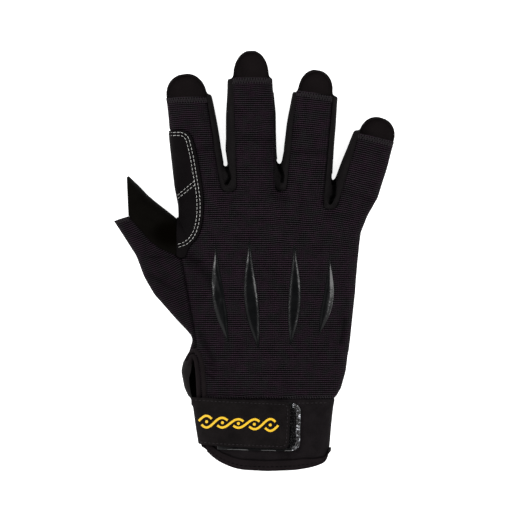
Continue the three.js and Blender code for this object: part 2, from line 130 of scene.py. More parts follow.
# %% [markdown]
# ## Helpers for modelling
# An operator works on everything that is selected, so each helper first deselects all, and then selects the
# object that it makes. A boolean joins or cuts two closed meshes, and its modifier is applied at once.

# %% Selecting, joining and cutting
def deselect():
    if bpy.context.object and bpy.context.object.mode != "OBJECT":
        bpy.ops.object.mode_set(mode="OBJECT")
    bpy.ops.object.select_all(action="DESELECT")


def take(obj):
    """Selects one object and makes it the active one."""
    deselect()
    obj.select_set(True)
    bpy.context.view_layer.objects.active = obj
    return obj


def apply(obj, kind, **settings):
    """Adds one modifier and applies it."""
    take(obj)
    modifier = obj.modifiers.new(kind.lower(), kind)
    for key, value in settings.items():
        setattr(modifier, key, value)
    bpy.ops.object.modifier_apply(modifier=modifier.name)
    return obj


def copy_of(obj, name):
    twin = obj.copy()
    twin.data = obj.data.copy()
    twin.name = twin.data.name = name
    bpy.context.collection.objects.link(twin)
    return twin


def drop(*objects):
    for obj in objects:
        bpy.data.objects.remove(obj, do_unlink=True)


def combine(obj, operation, *tools, keep=False):
    """Joins, cuts or intersects obj with closed tools."""
    for tool in tools:
        apply(obj, "BOOLEAN", operation=operation, solver="MANIFOLD", object=tool)
        if not keep:
            drop(tool)
    return obj


def join(parts, name):
    """Joins objects into the first of them."""
    take(parts[0])
    for part in parts[1:]:
        part.select_set(True)
    bpy.ops.object.join()
    parts[0].name = parts[0].data.name = name
    return parts[0]


def edit(obj):
    """Opens a mesh for editing, with all of it selected."""
    take(obj)
    bpy.ops.object.mode_set(mode="EDIT")
    bpy.ops.mesh.select_all(action="SELECT")


def close():
    """Turns the faces of the open mesh outwards and leaves it."""
    bpy.ops.mesh.select_all(action="SELECT")
    bpy.ops.mesh.normals_make_consistent(inside=False)
    bpy.ops.object.mode_set(mode="OBJECT")


def triangles(obj):
    return sum(len(p.vertices) - 2 for p in obj.data.polygons)


def points_of(obj):
    """A mesh's points as rows of x, y and z in millimetres."""
    return np.array([v.co for v in obj.data.vertices]) / MM


def put_points(obj, points):
    obj.data.vertices.foreach_set("co", (points * MM).ravel())
    obj.data.update()


def normals_of(obj):
    return np.array([v.normal for v in obj.data.vertices])


# %% [markdown]
# ## Outlines as cutters
# A pattern piece is an outline on paper. Here each outline is a flat face seen from above that is extruded
# into an upright block, and a boolean keeps or removes what lies inside it, as scissors would.

# %% Blocks cut to an outline
FAR = 400.0


def face_through(name, points):
    """One flat face through points, open for editing."""
    deselect()
    bpy.ops.mesh.primitive_circle_add(vertices=len(points), radius=1, fill_type="NGON")
    obj = bpy.context.object
    obj.name = name
    for vertex, point in zip(obj.data.vertices, points):
        vertex.co = point
    edit(obj)
    return obj


def slab(outline, low=-FAR, high=FAR):
    """An upright block with an outline seen from above, in millimetres."""
    obj = face_through("slab", [(x * MM, y * MM, low * MM) for x, y in outline])
    bpy.ops.mesh.extrude_region_move(TRANSFORM_OT_translate={"value": (0, 0, (high - low) * MM)})
    close()
    return obj


def box(low, high):
    return slab([(low[0], low[1]), (high[0], low[1]), (high[0], high[1]), (low[0], high[1])], low[2], high[2])


# %% [markdown]
# ## The hand form
# Each finger is a tube: a ring is laid upright, its one face is extruded section by section, and every new
# face is scaled and turned. The ring is flat below and domed above, because an empty glove settles on the
# table. Joining the tubes and voxel remeshing them melts them into one skin, as if cast over a last.

# %% A tube made by extruding one face
BELLY = 0.4


def cross_section(sides, roundness):
    """x and z of a lying tube's section, one wide and one high, with a flat sole."""
    points = []
    for i in range(sides):
        c, s = math.cos(2 * math.pi * i / sides), math.sin(2 * math.pi * i / sides)
        up = (1 - BELLY) * max(s, 0) ** 0.82
        down = BELLY * min(1, 1.06 * max(-s, 0) ** 0.5)
        points.append((0.5 * math.copysign(abs(c) ** roundness, c), BELLY + up - down))
    return points


def turn(angle, centre):
    """Turns what is selected about an upright axis. With no window the operator turns the other way."""
    bpy.ops.transform.rotate(value=-angle, orient_axis="Z", center_override=centre)


def tube(name, rows, sides=40, roundness=0.72):
    """A closed tube through rows of (x, y, z, angle, width, height), all in millimetres and radians."""
    obj = face_through(name, [(x, 0, z) for x, z in cross_section(sides, roundness)])
    before = (0, 0, 0, 0, 1 / MM, 1 / MM)
    for row in rows:
        move = [(b - a) * MM for a, b in zip(before[:3], row[:3])]
        if row is rows[0]:
            bpy.ops.transform.translate(value=move)
        else:
            bpy.ops.mesh.extrude_region_move(TRANSFORM_OT_translate={"value": move})
        centre = [c * MM for c in row[:3]]
        turn(-before[3], centre)
        bpy.ops.transform.resize(value=(row[4] / before[4], 1, row[5] / before[5]), center_override=centre)
        turn(row[3], centre)
        before = row
    close()
    return obj


def heading(lean):
    """The way ahead for a lean, and the way aside, towards the little finger."""
    angle = math.radians(lean)
    return np.array([math.sin(angle), math.cos(angle)]), np.array([math.cos(angle), -math.sin(angle)])


def on_axis(base, lean, along, aside):
    """The point along and aside of an axis, in millimetres."""
    ahead, beside = heading(lean)
    return tuple(np.array(base) + along * ahead + aside * beside)


def on_finger(finger, along, aside=0.0):
    return on_axis(finger["knuckle"], finger["lean"], along, aside)


def on_thumb(along, aside=0.0):
    return on_axis(THUMB["base"], THUMB["lean"], along, aside)


# %% The form at an inset
def row_at(point, lean, width, height, inset, lift=0.0):
    """One row of a tube, made smaller all round by an inset."""
    angle = -math.radians(lean)
    return (*point, lift + inset, angle, width - 2 * inset, height - lift - 2 * inset)


def finger_tube(finger, inset):
    width, height, lean = finger["width"], finger["height"], finger["lean"]
    rows = []
    for along, wide, high in FINGER_ROWS:
        wide *= finger["root"] if along < ROOT_ENDS else 1
        point = on_finger(finger, along * finger["length"])
        rows.append(row_at(point, lean, wide * width, high * height, inset))
    rim = min(inset, TONGUE_RIM)
    for along, wide, high in TONGUE_ROWS:
        point = on_finger(finger, finger["length"] + along * (finger["tongue"] - rim), finger["tongue_aside"])
        wide = max(wide * finger["tongue_wide"], 2 * rim + 1) + 2 * (inset - rim)
        rows.append(row_at(point, lean, wide, high * height, inset))
    return tube(finger["name"], rows)


def thumb_tube(inset):
    rows = []
    for along, aside, wide, high in THUMB_ROWS:
        far = along * THUMB["length"] + (2 * inset if along > 1 else 0)
        point = on_thumb(far, aside * THUMB["width"])
        rows.append(row_at(point, THUMB["lean"], wide * THUMB["width"], high * THUMB["height"], inset))
    return tube("thumb", rows)


def palm_tube(inset):
    rows = []
    for y, left, right, high in CUFF_ROWS:
        low = y - (3 * inset if y == CUFF_ROWS[0][0] else 0)
        rows.append(row_at(((left + right) / 2, low), 0, right - left, high * CUFF_HEIGHT, inset, CUFF_LIFT))
    for x0, y0, x1, y1, high in PALM_ROWS:
        lean = -math.degrees(math.atan2(y1 - y0, x1 - x0))
        if y0 == PALM_ROWS[-1][1]:
            y0, y1 = y0 - inset, y1 - inset
        middle = ((x0 + x1) / 2, (y0 + y1) / 2)
        rows.append(row_at(middle, lean, math.hypot(x1 - x0, y1 - y0), high * PALM_HEIGHT, inset))
    return tube("palm", rows, sides=64, roundness=0.52)


# The soft dents of the thumb's mouth and beside the slit: x, y, radius and depth.
DENTS = [(-51.5, 14.0, 7.0, 5.0), (-45.5, 8.0, 5.0, 3.4), (-60.0, 25.0, 9.0, 1.4), (-36.5, -50.5, 4.0, 1.5)]


def press(form):
    """Presses the dents into the upper side."""
    points = points_of(form)
    high = np.clip((points[:, 2] - 5) / 7, 0, 1)
    for x, y, radius, depth in DENTS:
        near = ((points[:, 0] - x) ** 2 + (points[:, 1] - y) ** 2) / radius**2
        points[:, 2] -= depth * high * np.exp(-near)
    put_points(form, points)


def web_gap(inset):
    """A slim upright wedge that carries the gap between two fingers down to a point."""
    (x0, y0), (x1, y1) = WEB_GAP
    half = WEB_GAP_HALF + inset
    tip = (x1, y1 - WEB_GAP_HALF - inset)
    return slab([(x0 - half, y0), (x1 - half, y1), tip, (x1 + half, y1), (x0 + half, y0)])


def hand_form(name, inset, voxel, rounds):
    """The whole hand as one smooth skin."""
    palm, fingers = palm_tube(inset), [finger_tube(finger, inset) for finger in FINGERS]
    for part in (palm, *fingers[:2]):
        combine(part, "DIFFERENCE", web_gap(inset))
    form = join([palm, thumb_tube(inset), *fingers], name)
    apply(form, "REMESH", mode="VOXEL", voxel_size=voxel * MM)
    apply(form, "SMOOTH", factor=0.5, iterations=rounds)
    press(form)
    print(name, "has", triangles(form), "triangles")
    return form


outer = hand_form("outer_form", 0.0, 0.8, 10)
inner = hand_form("inner_form", WALL, 1.3, 5)
for form in (outer, inner):
    points = points_of(form)
    print(form.name, "box in mm:", points.min(0).round(1), points.max(0).round(1))

# %% [markdown]
# ## Where the panels part
# Two panels that meet share one outline. The second one uses it grown by a hair, so that a thin seam stays
# open between the two. Seams are written as shares of a finger's width, so they follow the fingers.

# %% Lines and outlines
GAP = 0.12


def bent(points, steps=8):
    """Rounds corners. A point is (x, y) or (x, y, radius), and a corner's curve starts that far from it."""
    line = []
    for i, point in enumerate(points):
        here = np.array(point[:2], float)
        if len(point) == 2:
            line.append(tuple(here))
            continue
        before, after = (np.array(points[(i + k) % len(points)][:2], float) - here for k in (-1, 1))
        start, end = (here + way * min(point[2] / np.hypot(*way), 0.5) for way in (before, after))
        for t in np.linspace(0, 1, steps + 1):
            line.append(tuple((1 - t) ** 2 * start + 2 * t * (1 - t) * here + t * t * end))
    return line


def moved(line, distance):
    """A line moved to its left by a distance, seen along its own direction."""
    points = np.array(line, float)
    ways = np.gradient(points, axis=0)
    ways /= np.hypot(ways[:, 0], ways[:, 1])[:, None]
    return [tuple(p) for p in points + distance * np.stack([-ways[:, 1], ways[:, 0]], axis=1)]


# %% Seams and edges
WEBS = [39.3, 39.6, 29.3]
SEAMS = {"index": (None, (0.79, 0.71)), "middle": ((-0.535, -0.73), (0.99, 0.89)),
         "ring": ((-0.70, -0.80), (0.85, 0.70)), "little": ((-0.48, -0.70), None)}


def seam_point(finger, side, along):
    """A point on the seam between a finger's knit back and the strip on its left (0) or right (1)."""
    root, end = SEAMS[finger["name"]][side]
    share = root + (end - root) * min(along / finger["length"], 1)
    return on_finger(finger, along, share * finger["width"] / 2)


def hem_at(finger, aside):
    """How far along a finger its open end is: its hem may slope."""
    return finger["length"] + aside * finger["hem_slope"]


def seam_end(finger, side):
    """Where that seam reaches the open end."""
    aside = SEAMS[finger["name"]][side][1] * finger["width"] / 2
    return on_finger(finger, hem_at(finger, aside), aside)


def seam_foot(finger, side, y):
    """Where that seam comes down to a height in the picture."""
    low, high = -20.0, finger["length"]
    for _ in range(30):
        middle = (low + high) / 2
        low, high = (middle, high) if seam_point(finger, side, middle)[1] < y else (low, middle)
    return seam_point(finger, side, low)


def web_line(i, grow=0.0):
    """Down one finger's seam, round the web and up the next finger's seam."""
    one, other = FINGERS[i], FINGERS[i + 1]
    left, right = seam_foot(one, 1, WEBS[i]), seam_foot(other, 0, WEBS[i])
    reach = 0.48 * (right[0] - left[0])
    points = [seam_end(one, 1), (*left, reach), (*right, reach), seam_end(other, 0)]
    line = bent(points, 12)
    return moved(line, grow) if grow else line


def knit_outline(grow, past=0.0):
    """The knit back as one outline. It runs out past the glove where nothing is beside it."""
    first, last = FINGERS[0], FINGERS[-1]
    wide = first["width"]
    line = [(-FAR, -FAR), (-FAR, 70.0), on_finger(first, hem_at(first, -wide) + past, -wide)]
    for i in range(3):
        web = web_line(i, grow)
        one, other = FINGERS[i], FINGERS[i + 1]
        ends = ((web[0], one), (web[-1], other))
        left, right = (on_axis(end, finger["lean"], past, 0) for end, finger in ends)
        line += [left, *web[1:-1], right]
    wide = last["width"]
    line += [on_finger(last, hem_at(last, wide) + past, wide), (FAR, 20.0), (FAR, -FAR)]
    return line


def past_hem(finger, distance, low=-FAR):
    """The space in front of a finger's open end."""
    wide, end = 0.66 * finger["width"], finger["length"] + 40
    near = [(hem_at(finger, side) + distance, side) for side in (-wide, wide)]
    return slab([on_finger(finger, *corner) for corner in (*near, (end, wide), (end, -wide))], low)


def over_tongue(finger):
    """The space over a tongue: its floor slants down from the open end to the tip."""
    block = past_hem(finger, GAP, 0.0)
    ahead = heading(finger["lean"])[0]
    for vertex in block.data.vertices:
        if vertex.co.z < 0.1:
            reach = np.dot(np.array(vertex.co[:2]) / MM - finger["knuckle"], ahead) - finger["length"]
            vertex.co.z = (SIDE_SEAM - 2.4 * reach / finger["tongue"]) * MM
    return block


# %% The thumb's outlines
THUMB_HEM_LEFT = (-110.0, 13.4)


def thumb_outline(grow):
    """The thumb's side of its seam to the hand."""
    seam = [(x + grow, y) for x, y in THUMB_SEAM]
    return [*seam, (-FAR, seam[-1][1] - grow), (-FAR, seam[0][1])]


# The seam along the thumb's top between its knit and its leather, from the open end down to the hand.
THUMB_TOP_SEAM = [(-71.6, 25.1), (-69.6, 22.8), (-65.6, 18.4), (-58.9, 11.0), (-53.5, 7.2), (-48.0, 4.6),
                  (-42.0, 2.6), (-30.0, -1.0)]
THUMB_TIP = [(-60.0, 60.0), (-72.7, 47.4)]


def thumb_knit_outline(grow):
    """The thumb's knit side: left of the seam along its top, and behind its open end."""
    seam = moved(THUMB_TOP_SEAM, grow)
    way = np.array(seam[0]) - seam[1]
    start = tuple(np.array(seam[0]) + way * 0.02 * grow)
    return [start, *seam[1:], (-30.0, -FAR), (-FAR, -FAR), (-FAR, -60.0), THUMB_HEM_LEFT]


def thumb_reach_outline():
    """Behind the thumb's open end, with the pointed tongue in front of it."""
    mouth = [THUMB_TOP_SEAM[0], THUMB_HEM_LEFT]
    return [(-FAR, -FAR), (FAR, -FAR), (FAR, 60.0), *THUMB_TIP, *mouth, (-FAR, -60.0)]


# %% Hem, patch and slit
# The cuff's lower edge.
HEM = [(-60, -105.4), (-34, -105.4), (-29.5, -106.2, 3), (-21.5, -113.4, 5), (-10, -118.2, 6), (7, -119),
       (22, -118.5), (33, -116.9, 5), (40.2, -114.2, 3), (41.9, -108.4, 2), (60, -108.4)]
# From this x on, and over this width, the hem narrows by this share.
HEM_NARROWS = (28, 14, 0.62)


def hem_curve(inset):
    """The cuff's lower edge: level at the thumb's side, then round and out to the far side."""
    start, over, share = HEM_NARROWS
    return [(x, y + inset * (1 - share * min(max((x - start) / over, 0), 1))) for x, y in bent(HEM)]


PATCH = [(-60, 73.8), (-36.8, 73.8, 6), (-33.2, 60.8, 4), (-30.4, 44.5, 6), (-29.2, 34.5, 6),
         (-29.7, 22.0, 6), (-32.2, 13.2, 5), (-37.4, 8.2, 3), (-39.6, 1.8, 1.5), (-60, 1.8)]
PATCH_SEWING = [(-60, 72.6), (-38.4, 72.6, 5), (-35.3, 60.4, 4), (-32.6, 44.5, 6), (-31.1, 34.5, 6),
                (-31.2, 24.0, 6), (-33.4, 14.9, 5), (-37.4, 10.0, 4), (-41.4, 8.0, 3), (-47.0, 7.0)]


def patch_outline(grow):
    """The patch on the index finger, from its level top down to its curl beside the thumb."""
    return moved(bent(PATCH), grow)


# The slit from its top end down: x and y of its middle, and half its width.
SLIT = [(-34.6, -53.0, 0.0), (-34.4, -56.0, 1.0), (-34.4, -59.5, 1.4), (-34.5, -62.5, 1.6),
        (-35.1, -66.5, 2.2), (-35.0, -70.5, 2.1), (-34.2, -78.4, 1.5), (-33.0, -90.0, 1.3),
        (-29.0, -106.0, 1.3), (-27.0, -130.0, 1.3)]
UNDER_SLIT = 9.0
SLIT_EDGE = 0.3


def slit_block(widen):
    """What the slit takes out of the upper side, widened on its right."""
    left = [(x - half, y) for x, y, half in SLIT]
    right = [(x + half + widen, y) for x, y, half in SLIT]
    return slab(left + right[::-1], UNDER_SLIT)


# %% [markdown]
# ## Cutting the panels
# The shell is the hand form less the same form made smaller by the cloth's thickness. Every panel is what is
# left of that shell between the outlines, so the panels have a real thickness and their insides show at the
# open ends.

# %% Blocks that part the panels
FLAP = (-35.3, -52.0)
PATCH_PROUD = 0.6
HEM_PROUD = 0.9
HEM_WIDTH = 5.4
# How far in front of each finger's hem the strips beside it end.
STRIPS_PAST = (1.6, -0.4, 0.0, 2.0)
CRUMB = 400


def below_side_seam():
    return box((-FAR, -FAR, -FAR), (FAR, FAR, SIDE_SEAM + GAP / 2))


def above_side_seam():
    return box((-FAR, -FAR, SIDE_SEAM - GAP / 2), (FAR, FAR, FAR))


def beside_slit():
    return box((-FAR, WRIST_Y, -FAR), (*FLAP, FAR))


def off_the_hand():
    """The thumb's side of its seam, and all below the wrist."""
    return slab(thumb_outline(GAP / 2)), box((-FAR, -FAR, -FAR), (FAR, WRIST_Y + GAP, FAR))


def above(curve):
    return slab([(-FAR, FAR), *curve, (FAR, FAR)])


def grown(form, amount, name):
    """A copy of a form, moved out along its normals."""
    return apply(copy_of(form, name), "DISPLACE", strength=amount * MM, mid_level=0)


# %% The shell
shell = combine(copy_of(outer, "shell"), "DIFFERENCE", inner, keep=True)
upper = combine(copy_of(shell, "upper"), "DIFFERENCE", below_side_seam())
lower = combine(copy_of(shell, "lower"), "DIFFERENCE", above_side_seam())


# %% Back, strips and palm
def loose_parts(obj, crumb=0):
    """Splits an object into its loose parts, and drops those of no more triangles than a crumb."""
    take(obj)
    bpy.ops.mesh.separate(type="LOOSE")
    parts = sorted(bpy.context.selected_objects, key=triangles)
    drop(*[part for part in parts if triangles(part) <= crumb])
    return list(bpy.context.selected_objects)


def panel(obj, name):
    """Names a panel, and drops the crumbs that a boolean leaves where two outlines run side by side."""
    *crumbs, obj = sorted(loose_parts(obj), key=triangles)
    drop(*crumbs)
    obj.name = obj.data.name = name
    print(name, "has", triangles(obj), "triangles")
    return obj


def cut_back():
    back = combine(copy_of(upper, "back"), "INTERSECT", slab(knit_outline(0)))
    combine(back, "DIFFERENCE", *off_the_hand())
    combine(back, "DIFFERENCE", slab(patch_outline(GAP)), beside_slit(), slit_block(SLIT_EDGE))
    return panel(back, "knit_back")


def cut_strips():
    strips = combine(copy_of(upper, "strips"), "DIFFERENCE", slab(knit_outline(GAP, 20)))
    for finger, past in zip(FINGERS, STRIPS_PAST):
        combine(strips, "DIFFERENCE", past_hem(finger, past))
    parts = loose_parts(strips, CRUMB)
    parts.sort(key=lambda part: points_of(part)[:, 0].mean())
    names = ("strip_index_middle", "strip_middle_ring", "strip_ring_little")
    return [panel(part, name) for part, name in zip(parts, names)]


def cut_palm():
    palm = copy_of(lower, "palm")
    for finger in FINGERS:
        combine(palm, "DIFFERENCE", over_tongue(finger))
    flap = combine(copy_of(shell, "flap"), "INTERSECT", beside_slit())
    combine(flap, "DIFFERENCE", slit_block(20))
    combine(palm, "UNION", flap)
    combine(palm, "DIFFERENCE", *off_the_hand())
    return panel(palm, "palm")


# %% Patch, thumb and cuff
def cut_patch():
    patch = combine(grown(outer, PATCH_PROUD, "patch"), "DIFFERENCE", inner, keep=True)
    combine(patch, "DIFFERENCE", below_side_seam())
    combine(patch, "INTERSECT", slab(patch_outline(0)))
    combine(patch, "DIFFERENCE", slab(thumb_outline(GAP / 2)))
    return panel(patch, "index_patch_leather")


def cut_thumb():
    back = combine(copy_of(upper, "thumb"), "INTERSECT", slab(thumb_outline(-GAP / 2)))
    combine(back, "INTERSECT", slab(thumb_knit_outline(-GAP / 2)))
    front = combine(copy_of(shell, "thumb"), "INTERSECT", slab(thumb_outline(-GAP / 2)))
    combine(front, "INTERSECT", slab(thumb_reach_outline()))
    combine(front, "DIFFERENCE", slab(thumb_knit_outline(GAP / 2), SIDE_SEAM - GAP / 2))
    return panel(back, "thumb_knit"), panel(front, "thumb_leather")


def cut_cuff():
    cuff = combine(copy_of(shell, "cuff"), "DIFFERENCE", box((-FAR, WRIST_Y - GAP, -FAR), (FAR, FAR, FAR)))
    combine(cuff, "INTERSECT", above(hem_curve(HEM_WIDTH)))
    return panel(combine(cuff, "DIFFERENCE", slit_block(SLIT_EDGE)), "cuff_cloth")


def cut_hem():
    hem = combine(grown(outer, HEM_PROUD, "hem"), "DIFFERENCE", inner, keep=True)
    combine(hem, "INTERSECT", above(hem_curve(0)))
    combine(hem, "DIFFERENCE", above(hem_curve(HEM_WIDTH + GAP)))
    return panel(combine(hem, "DIFFERENCE", slit_block(SLIT_EDGE)), "cuff_hem")


knit_back = cut_back()
strips = cut_strips()
palm = cut_palm()
patch = cut_patch()
thumb_knit, thumb_leather = cut_thumb()
cuff_cloth = cut_cuff()
cuff_hem = cut_hem()

# %% [markdown]
# ## Seams, dents and small waves
# A seam pulls the cloth down along a narrow line, so each panel sinks a little at its edges. The cut is
# already made, so points lie exactly on the seam, and moving them by their distance to it gives a clean,
# even groove. Only the outer face moves: a point's distance from the hand form says how much of the move it
# takes.

# %% Distances to lines
outer_tree = BVHTree.FromObject(outer, bpy.context.evaluated_depsgraph_get())


def distance_to(points, line):
    """How far many points are from a line, seen from above, in millimetres."""
    best = np.full(len(points), 1e9)
    line = np.array([p[:2] for p in line], float)
    for a, b in zip(line, line[1:]):
        way = b - a
        t = np.clip(((points[:, :2] - a) @ way) / max(way @ way, 1e-9), 0, 1)
        gap = points[:, :2] - (a + t[:, None] * way)
        best = np.minimum(best, np.hypot(gap[:, 0], gap[:, 1]))
    return best


def bell(points, line, width):
    """One on a line seen from above, and falling softly to nought at about twice the width from it."""
    return np.exp(-((distance_to(points, line) / width) ** 2))


# %% Lines of seams and folds
# Seams that pull the cloth down: the line, the depth and the width. The hem's stops short of its right end.
HAND_SEAM = THUMB_SEAM[3:]
GROOVES = [*[(web_line(i), 0.8, 0.9) for i in range(3)], (HAND_SEAM, 0.6, 1.0), (THUMB_TOP_SEAM, 0.5, 0.9),
           ([(-45, WRIST_Y), (60, WRIST_Y)], 0.5, 0.9), (patch_outline(0), 0.5, 1.1),
           ([p for p in hem_curve(HEM_WIDTH) if p[0] < 38], 0.9, 1.1)]
# The underside has a sewn-on palm piece, seen as a groove round it.
SOLE_PIECE = bent([(-30, 24, 8), (-12, 30, 8), (18, 30, 8), (46, 12, 12), (46, -24, 14), (38, -58, 12),
                   (18, -62, 14), (4, -42, 14), (-14, -22, 12), (-30, -4, 12)])
SOLE_PIECE.append(SOLE_PIECE[0])
SOLE_TOP = 2
HEM_MIDDLE = hem_curve(0.45 * HEM_WIDTH)


# %% Relief on the panels
def waves(p):
    """Soft unevenness of cloth that lies loose, in millimetres."""
    x, y = p[:, 0], p[:, 1]
    return (0.22 * np.sin(x / 7.1 + 1.3 * np.sin(y / 17 + 0.4)) * np.sin(y / 11.3 + 0.7)
            + 0.12 * np.sin(x / 3.3 + y / 9.7 + 2.1) * np.sin(y / 5.9 - x / 14 + 0.3))


# Lines that stand up or sink in as soft folds: the line, its height and its width.
FOLDS = [([(50.6, -33.0), (50.0, -39.0), (48.6, -46.5)], -0.55, 1.5),
         ([(51.5, -14.0), (52.5, -32.0), (51.0, -50.0)], 0.6, 2.4),
         ([(-30.5, -42.0), (-24.0, -56.0)], -0.6, 2.0), ([(-28.0, -57.5), (-22.5, -59.5)], -0.5, 0.9),
         ([(-28.0, -60.6), (-22.0, -62.4)], -0.5, 0.9), ([(-28.0, -63.8), (-23.5, -66.2)], -0.5, 0.9),
         ([(-36.5, 2.0), (-27.0, -8.0), (-20.0, -20.0)], -0.6, 3.0),
         ([(-39.0, -4.0), (-33.0, -18.0)], 0.5, 2.2),
         ([(-18.0, 35.0), (-15.0, 34.0), (-12.0, 35.0)], -0.3, 2.0),
         ([(13.0, 35.5), (15.5, 34.8), (18.0, 35.5)], -0.3, 2.0),
         ([(40.5, 25.5), (43.0, 24.5), (46.0, 26.0)], -0.3, 2.0), ([(-4.0, 30.0), (3.0, 27.0)], 0.4, 2.5),
         ([(-60.0, -8.0), (-46.0, -16.0)], -0.6, 2.5), ([(-64.0, 4.0), (-52.0, -6.0)], 0.5, 2.5),
         ([(-36.0, 62.0), (-22.0, 64.0)], -0.35, 2.2), ([(-14.0, 70.0), (8.0, 68.0)], -0.35, 2.4),
         ([(18.0, 62.0), (40.0, 60.0)], -0.35, 2.2), ([(48.0, 40.0), (66.0, 34.0)], -0.35, 2.2),
         ([(-38.0, -10.0), (-36.0, -40.0)], 0.4, 2.0)]
for i in range(3):
    curl = [p for p in moved(web_line(i), 2.2) if p[1] < WEBS[i] + 22]
    FOLDS.append((curl, 0.7, 1.2))


def shade(p):
    """How dark the hollows of the cloth are at many points, from 0 to 1: light hardly reaches into a fold."""
    dark = sum(-height * bell(p, line, width) for line, height, width in FOLDS if height < 0)
    for line, depth, width in GROOVES:
        dark = np.maximum(dark, 1.6 * depth * bell(p, line, 0.7 * width))
    return np.clip(dark, 0, 1)


def relief(p):
    """How far the outer face rises at many points, in millimetres."""
    rise = waves(p)
    for line, height, width in FOLDS:
        rise += height * bell(p, line, width)
    for line, depth, width in GROOVES:
        rise -= depth * bell(p, line, width)
    rise -= 0.35 * np.exp(-(((p[:, 2] - SIDE_SEAM) / 0.8) ** 2))
    rise -= 0.5 * bell(p, SOLE_PIECE, 1.0) * (p[:, 2] < SOLE_TOP)
    return rise


def creases(p):
    """How far the webs sink in their creases, in millimetres."""
    return -3.0 * sum(bell(p, line, 0.75) for line in CREASES)


def roll(p):
    """The puffed middle of the folded hem, in millimetres."""
    return 0.7 * bell(p, HEM_MIDDLE, 1.9) - 0.3


def settle(obj, *, reach=WALL, shape=relief):
    """Moves the outer face of a panel by the relief. The move fades out over a reach from the hand form."""
    points = points_of(obj)
    rise = shape(points)
    ways = np.zeros_like(points)
    share = np.zeros(len(points))
    for i, vertex in enumerate(obj.data.vertices):
        _, normal, _, far = outer_tree.find_nearest(vertex.co)
        ways[i] = normal
        share[i] = max(0.0, 1 - far / MM / reach)
    points += ways * (rise * share)[:, None]
    points[:, 2] = np.maximum(points[:, 2], 0)
    put_points(obj, points)


# %% [markdown]
# ## Meshes without slivers
# A boolean can leave two faces back to back that hang on one edge of a panel. Seen as triangles, that edge
# has four faces. It is split there, what comes loose is deleted, and the edge is welded again.

# %% Cleaning
WELD = 1e-6


def clean(obj):
    """Drops the slivers that the booleans left hanging on one edge of a mesh, and welds that edge again."""
    edit(obj)
    bpy.ops.mesh.select_mode(type="EDGE")
    bpy.ops.mesh.remove_doubles(threshold=WELD)
    bpy.ops.mesh.quads_convert_to_tris()
    bpy.ops.mesh.select_all(action="DESELECT")
    bpy.ops.mesh.select_non_manifold(extend=False)
    bpy.ops.mesh.edge_split(type="EDGE")
    bpy.ops.mesh.select_mode(type="FACE")
    bpy.ops.mesh.select_all(action="DESELECT")
    bpy.ops.object.mode_set(mode="OBJECT")
    max(obj.data.polygons, key=lambda face: face.area).select = True
    bpy.ops.object.mode_set(mode="EDIT")
    bpy.ops.mesh.select_linked()
    bpy.ops.mesh.select_all(action="INVERT")
    bpy.ops.mesh.delete(type="FACE")
    bpy.ops.mesh.select_all(action="SELECT")
    bpy.ops.mesh.remove_doubles(threshold=WELD)
    bpy.ops.object.mode_set(mode="OBJECT")


def split_faces(obj):
    """Gives a mesh four faces for each one."""
    edit(obj)
    bpy.ops.mesh.subdivide(number_cuts=1)
    bpy.ops.object.mode_set(mode="OBJECT")


panels = [knit_back, *strips, palm, patch, thumb_knit, thumb_leather, cuff_cloth, cuff_hem]
for part in panels:
    before = triangles(part)
    clean(part)
    print(part.name, "loses", before - triangles(part), "triangles of slivers")
for part in strips:
    split_faces(part)

# %% The relief at work
for part in panels:
    settle(part)
for part in strips:
    settle(part, reach=4 * WALL, shape=creases)
settle(cuff_hem, reach=2 * WALL, shape=roll)

# %% [markdown]
# ## Strap and hook patch
# The strap is a flat tape that is sewn in at the thumb's side and closes over the wrist on a patch of hooks.
# Both are cut from skins that lie just over the cuff, then remeshed and smoothed, which rounds their edges.

# %% Tapes over the cuff
STRAP_TIP, STRAP_Y, STRAP_WIDTH, STRAP_TILT = 19.6, -93.2, 26.8, math.radians(-2.6)
# The strap's upper corner at the thumb's side is cut away beside the slit's flap.
STRAP_NOTCH = ((-60, -82.5), (-36.2, -60))


def tab(right, y, length, width, radius, tilt):
    """A tape's outline with round corners at its right end, turned about that end's middle."""
    half = width / 2
    flat = bent([(-length, -half), (0, -half, radius), (0, half, radius), (-length, half)])
    c, s = math.cos(tilt), math.sin(tilt)
    return [(right + x * c - v * s, y + x * s + v * c) for x, v in flat]


def tape(name, outline, under, thick, low, voxel, rounds):
    """A tape that lies from under to under + thick above the cuff, kept above a height."""
    obj = combine(palm_tube(-under - thick), "DIFFERENCE", palm_tube(-under))
    combine(obj, "INTERSECT", slab(outline, low))
    combine(obj, "DIFFERENCE", box((*STRAP_NOTCH[0], -FAR), (*STRAP_NOTCH[1], FAR)))
    apply(obj, "REMESH", mode="VOXEL", voxel_size=voxel * MM)
    apply(obj, "SMOOTH", factor=0.5, iterations=rounds)
    return panel(obj, name)


STRAP_LENGTH = 80.0
STRAP_OUTLINE = tab(STRAP_TIP, STRAP_Y, STRAP_LENGTH, STRAP_WIDTH, 4, STRAP_TILT)
strap = tape("wrist_strap_tape", STRAP_OUTLINE, under=1.25, thick=1.45, low=3, voxel=0.45, rounds=4)
HOOK_PATCH = tab(25.8, STRAP_Y - 0.9, 47, 27.6, 6, math.radians(-1.2))
hooks = tape("hook_patch", HOOK_PATCH, under=0.2, thick=0.85, low=10, voxel=0.4, rounds=3)


def emboss(obj, line, depth, width):
    """Presses a sewing line into the upper face of a tape."""
    points, normals = points_of(obj), normals_of(obj)
    press_in = depth * bell(points, line, width) * (normals[:, 2] > 0.2)
    put_points(obj, points - normals * press_in[:, None])


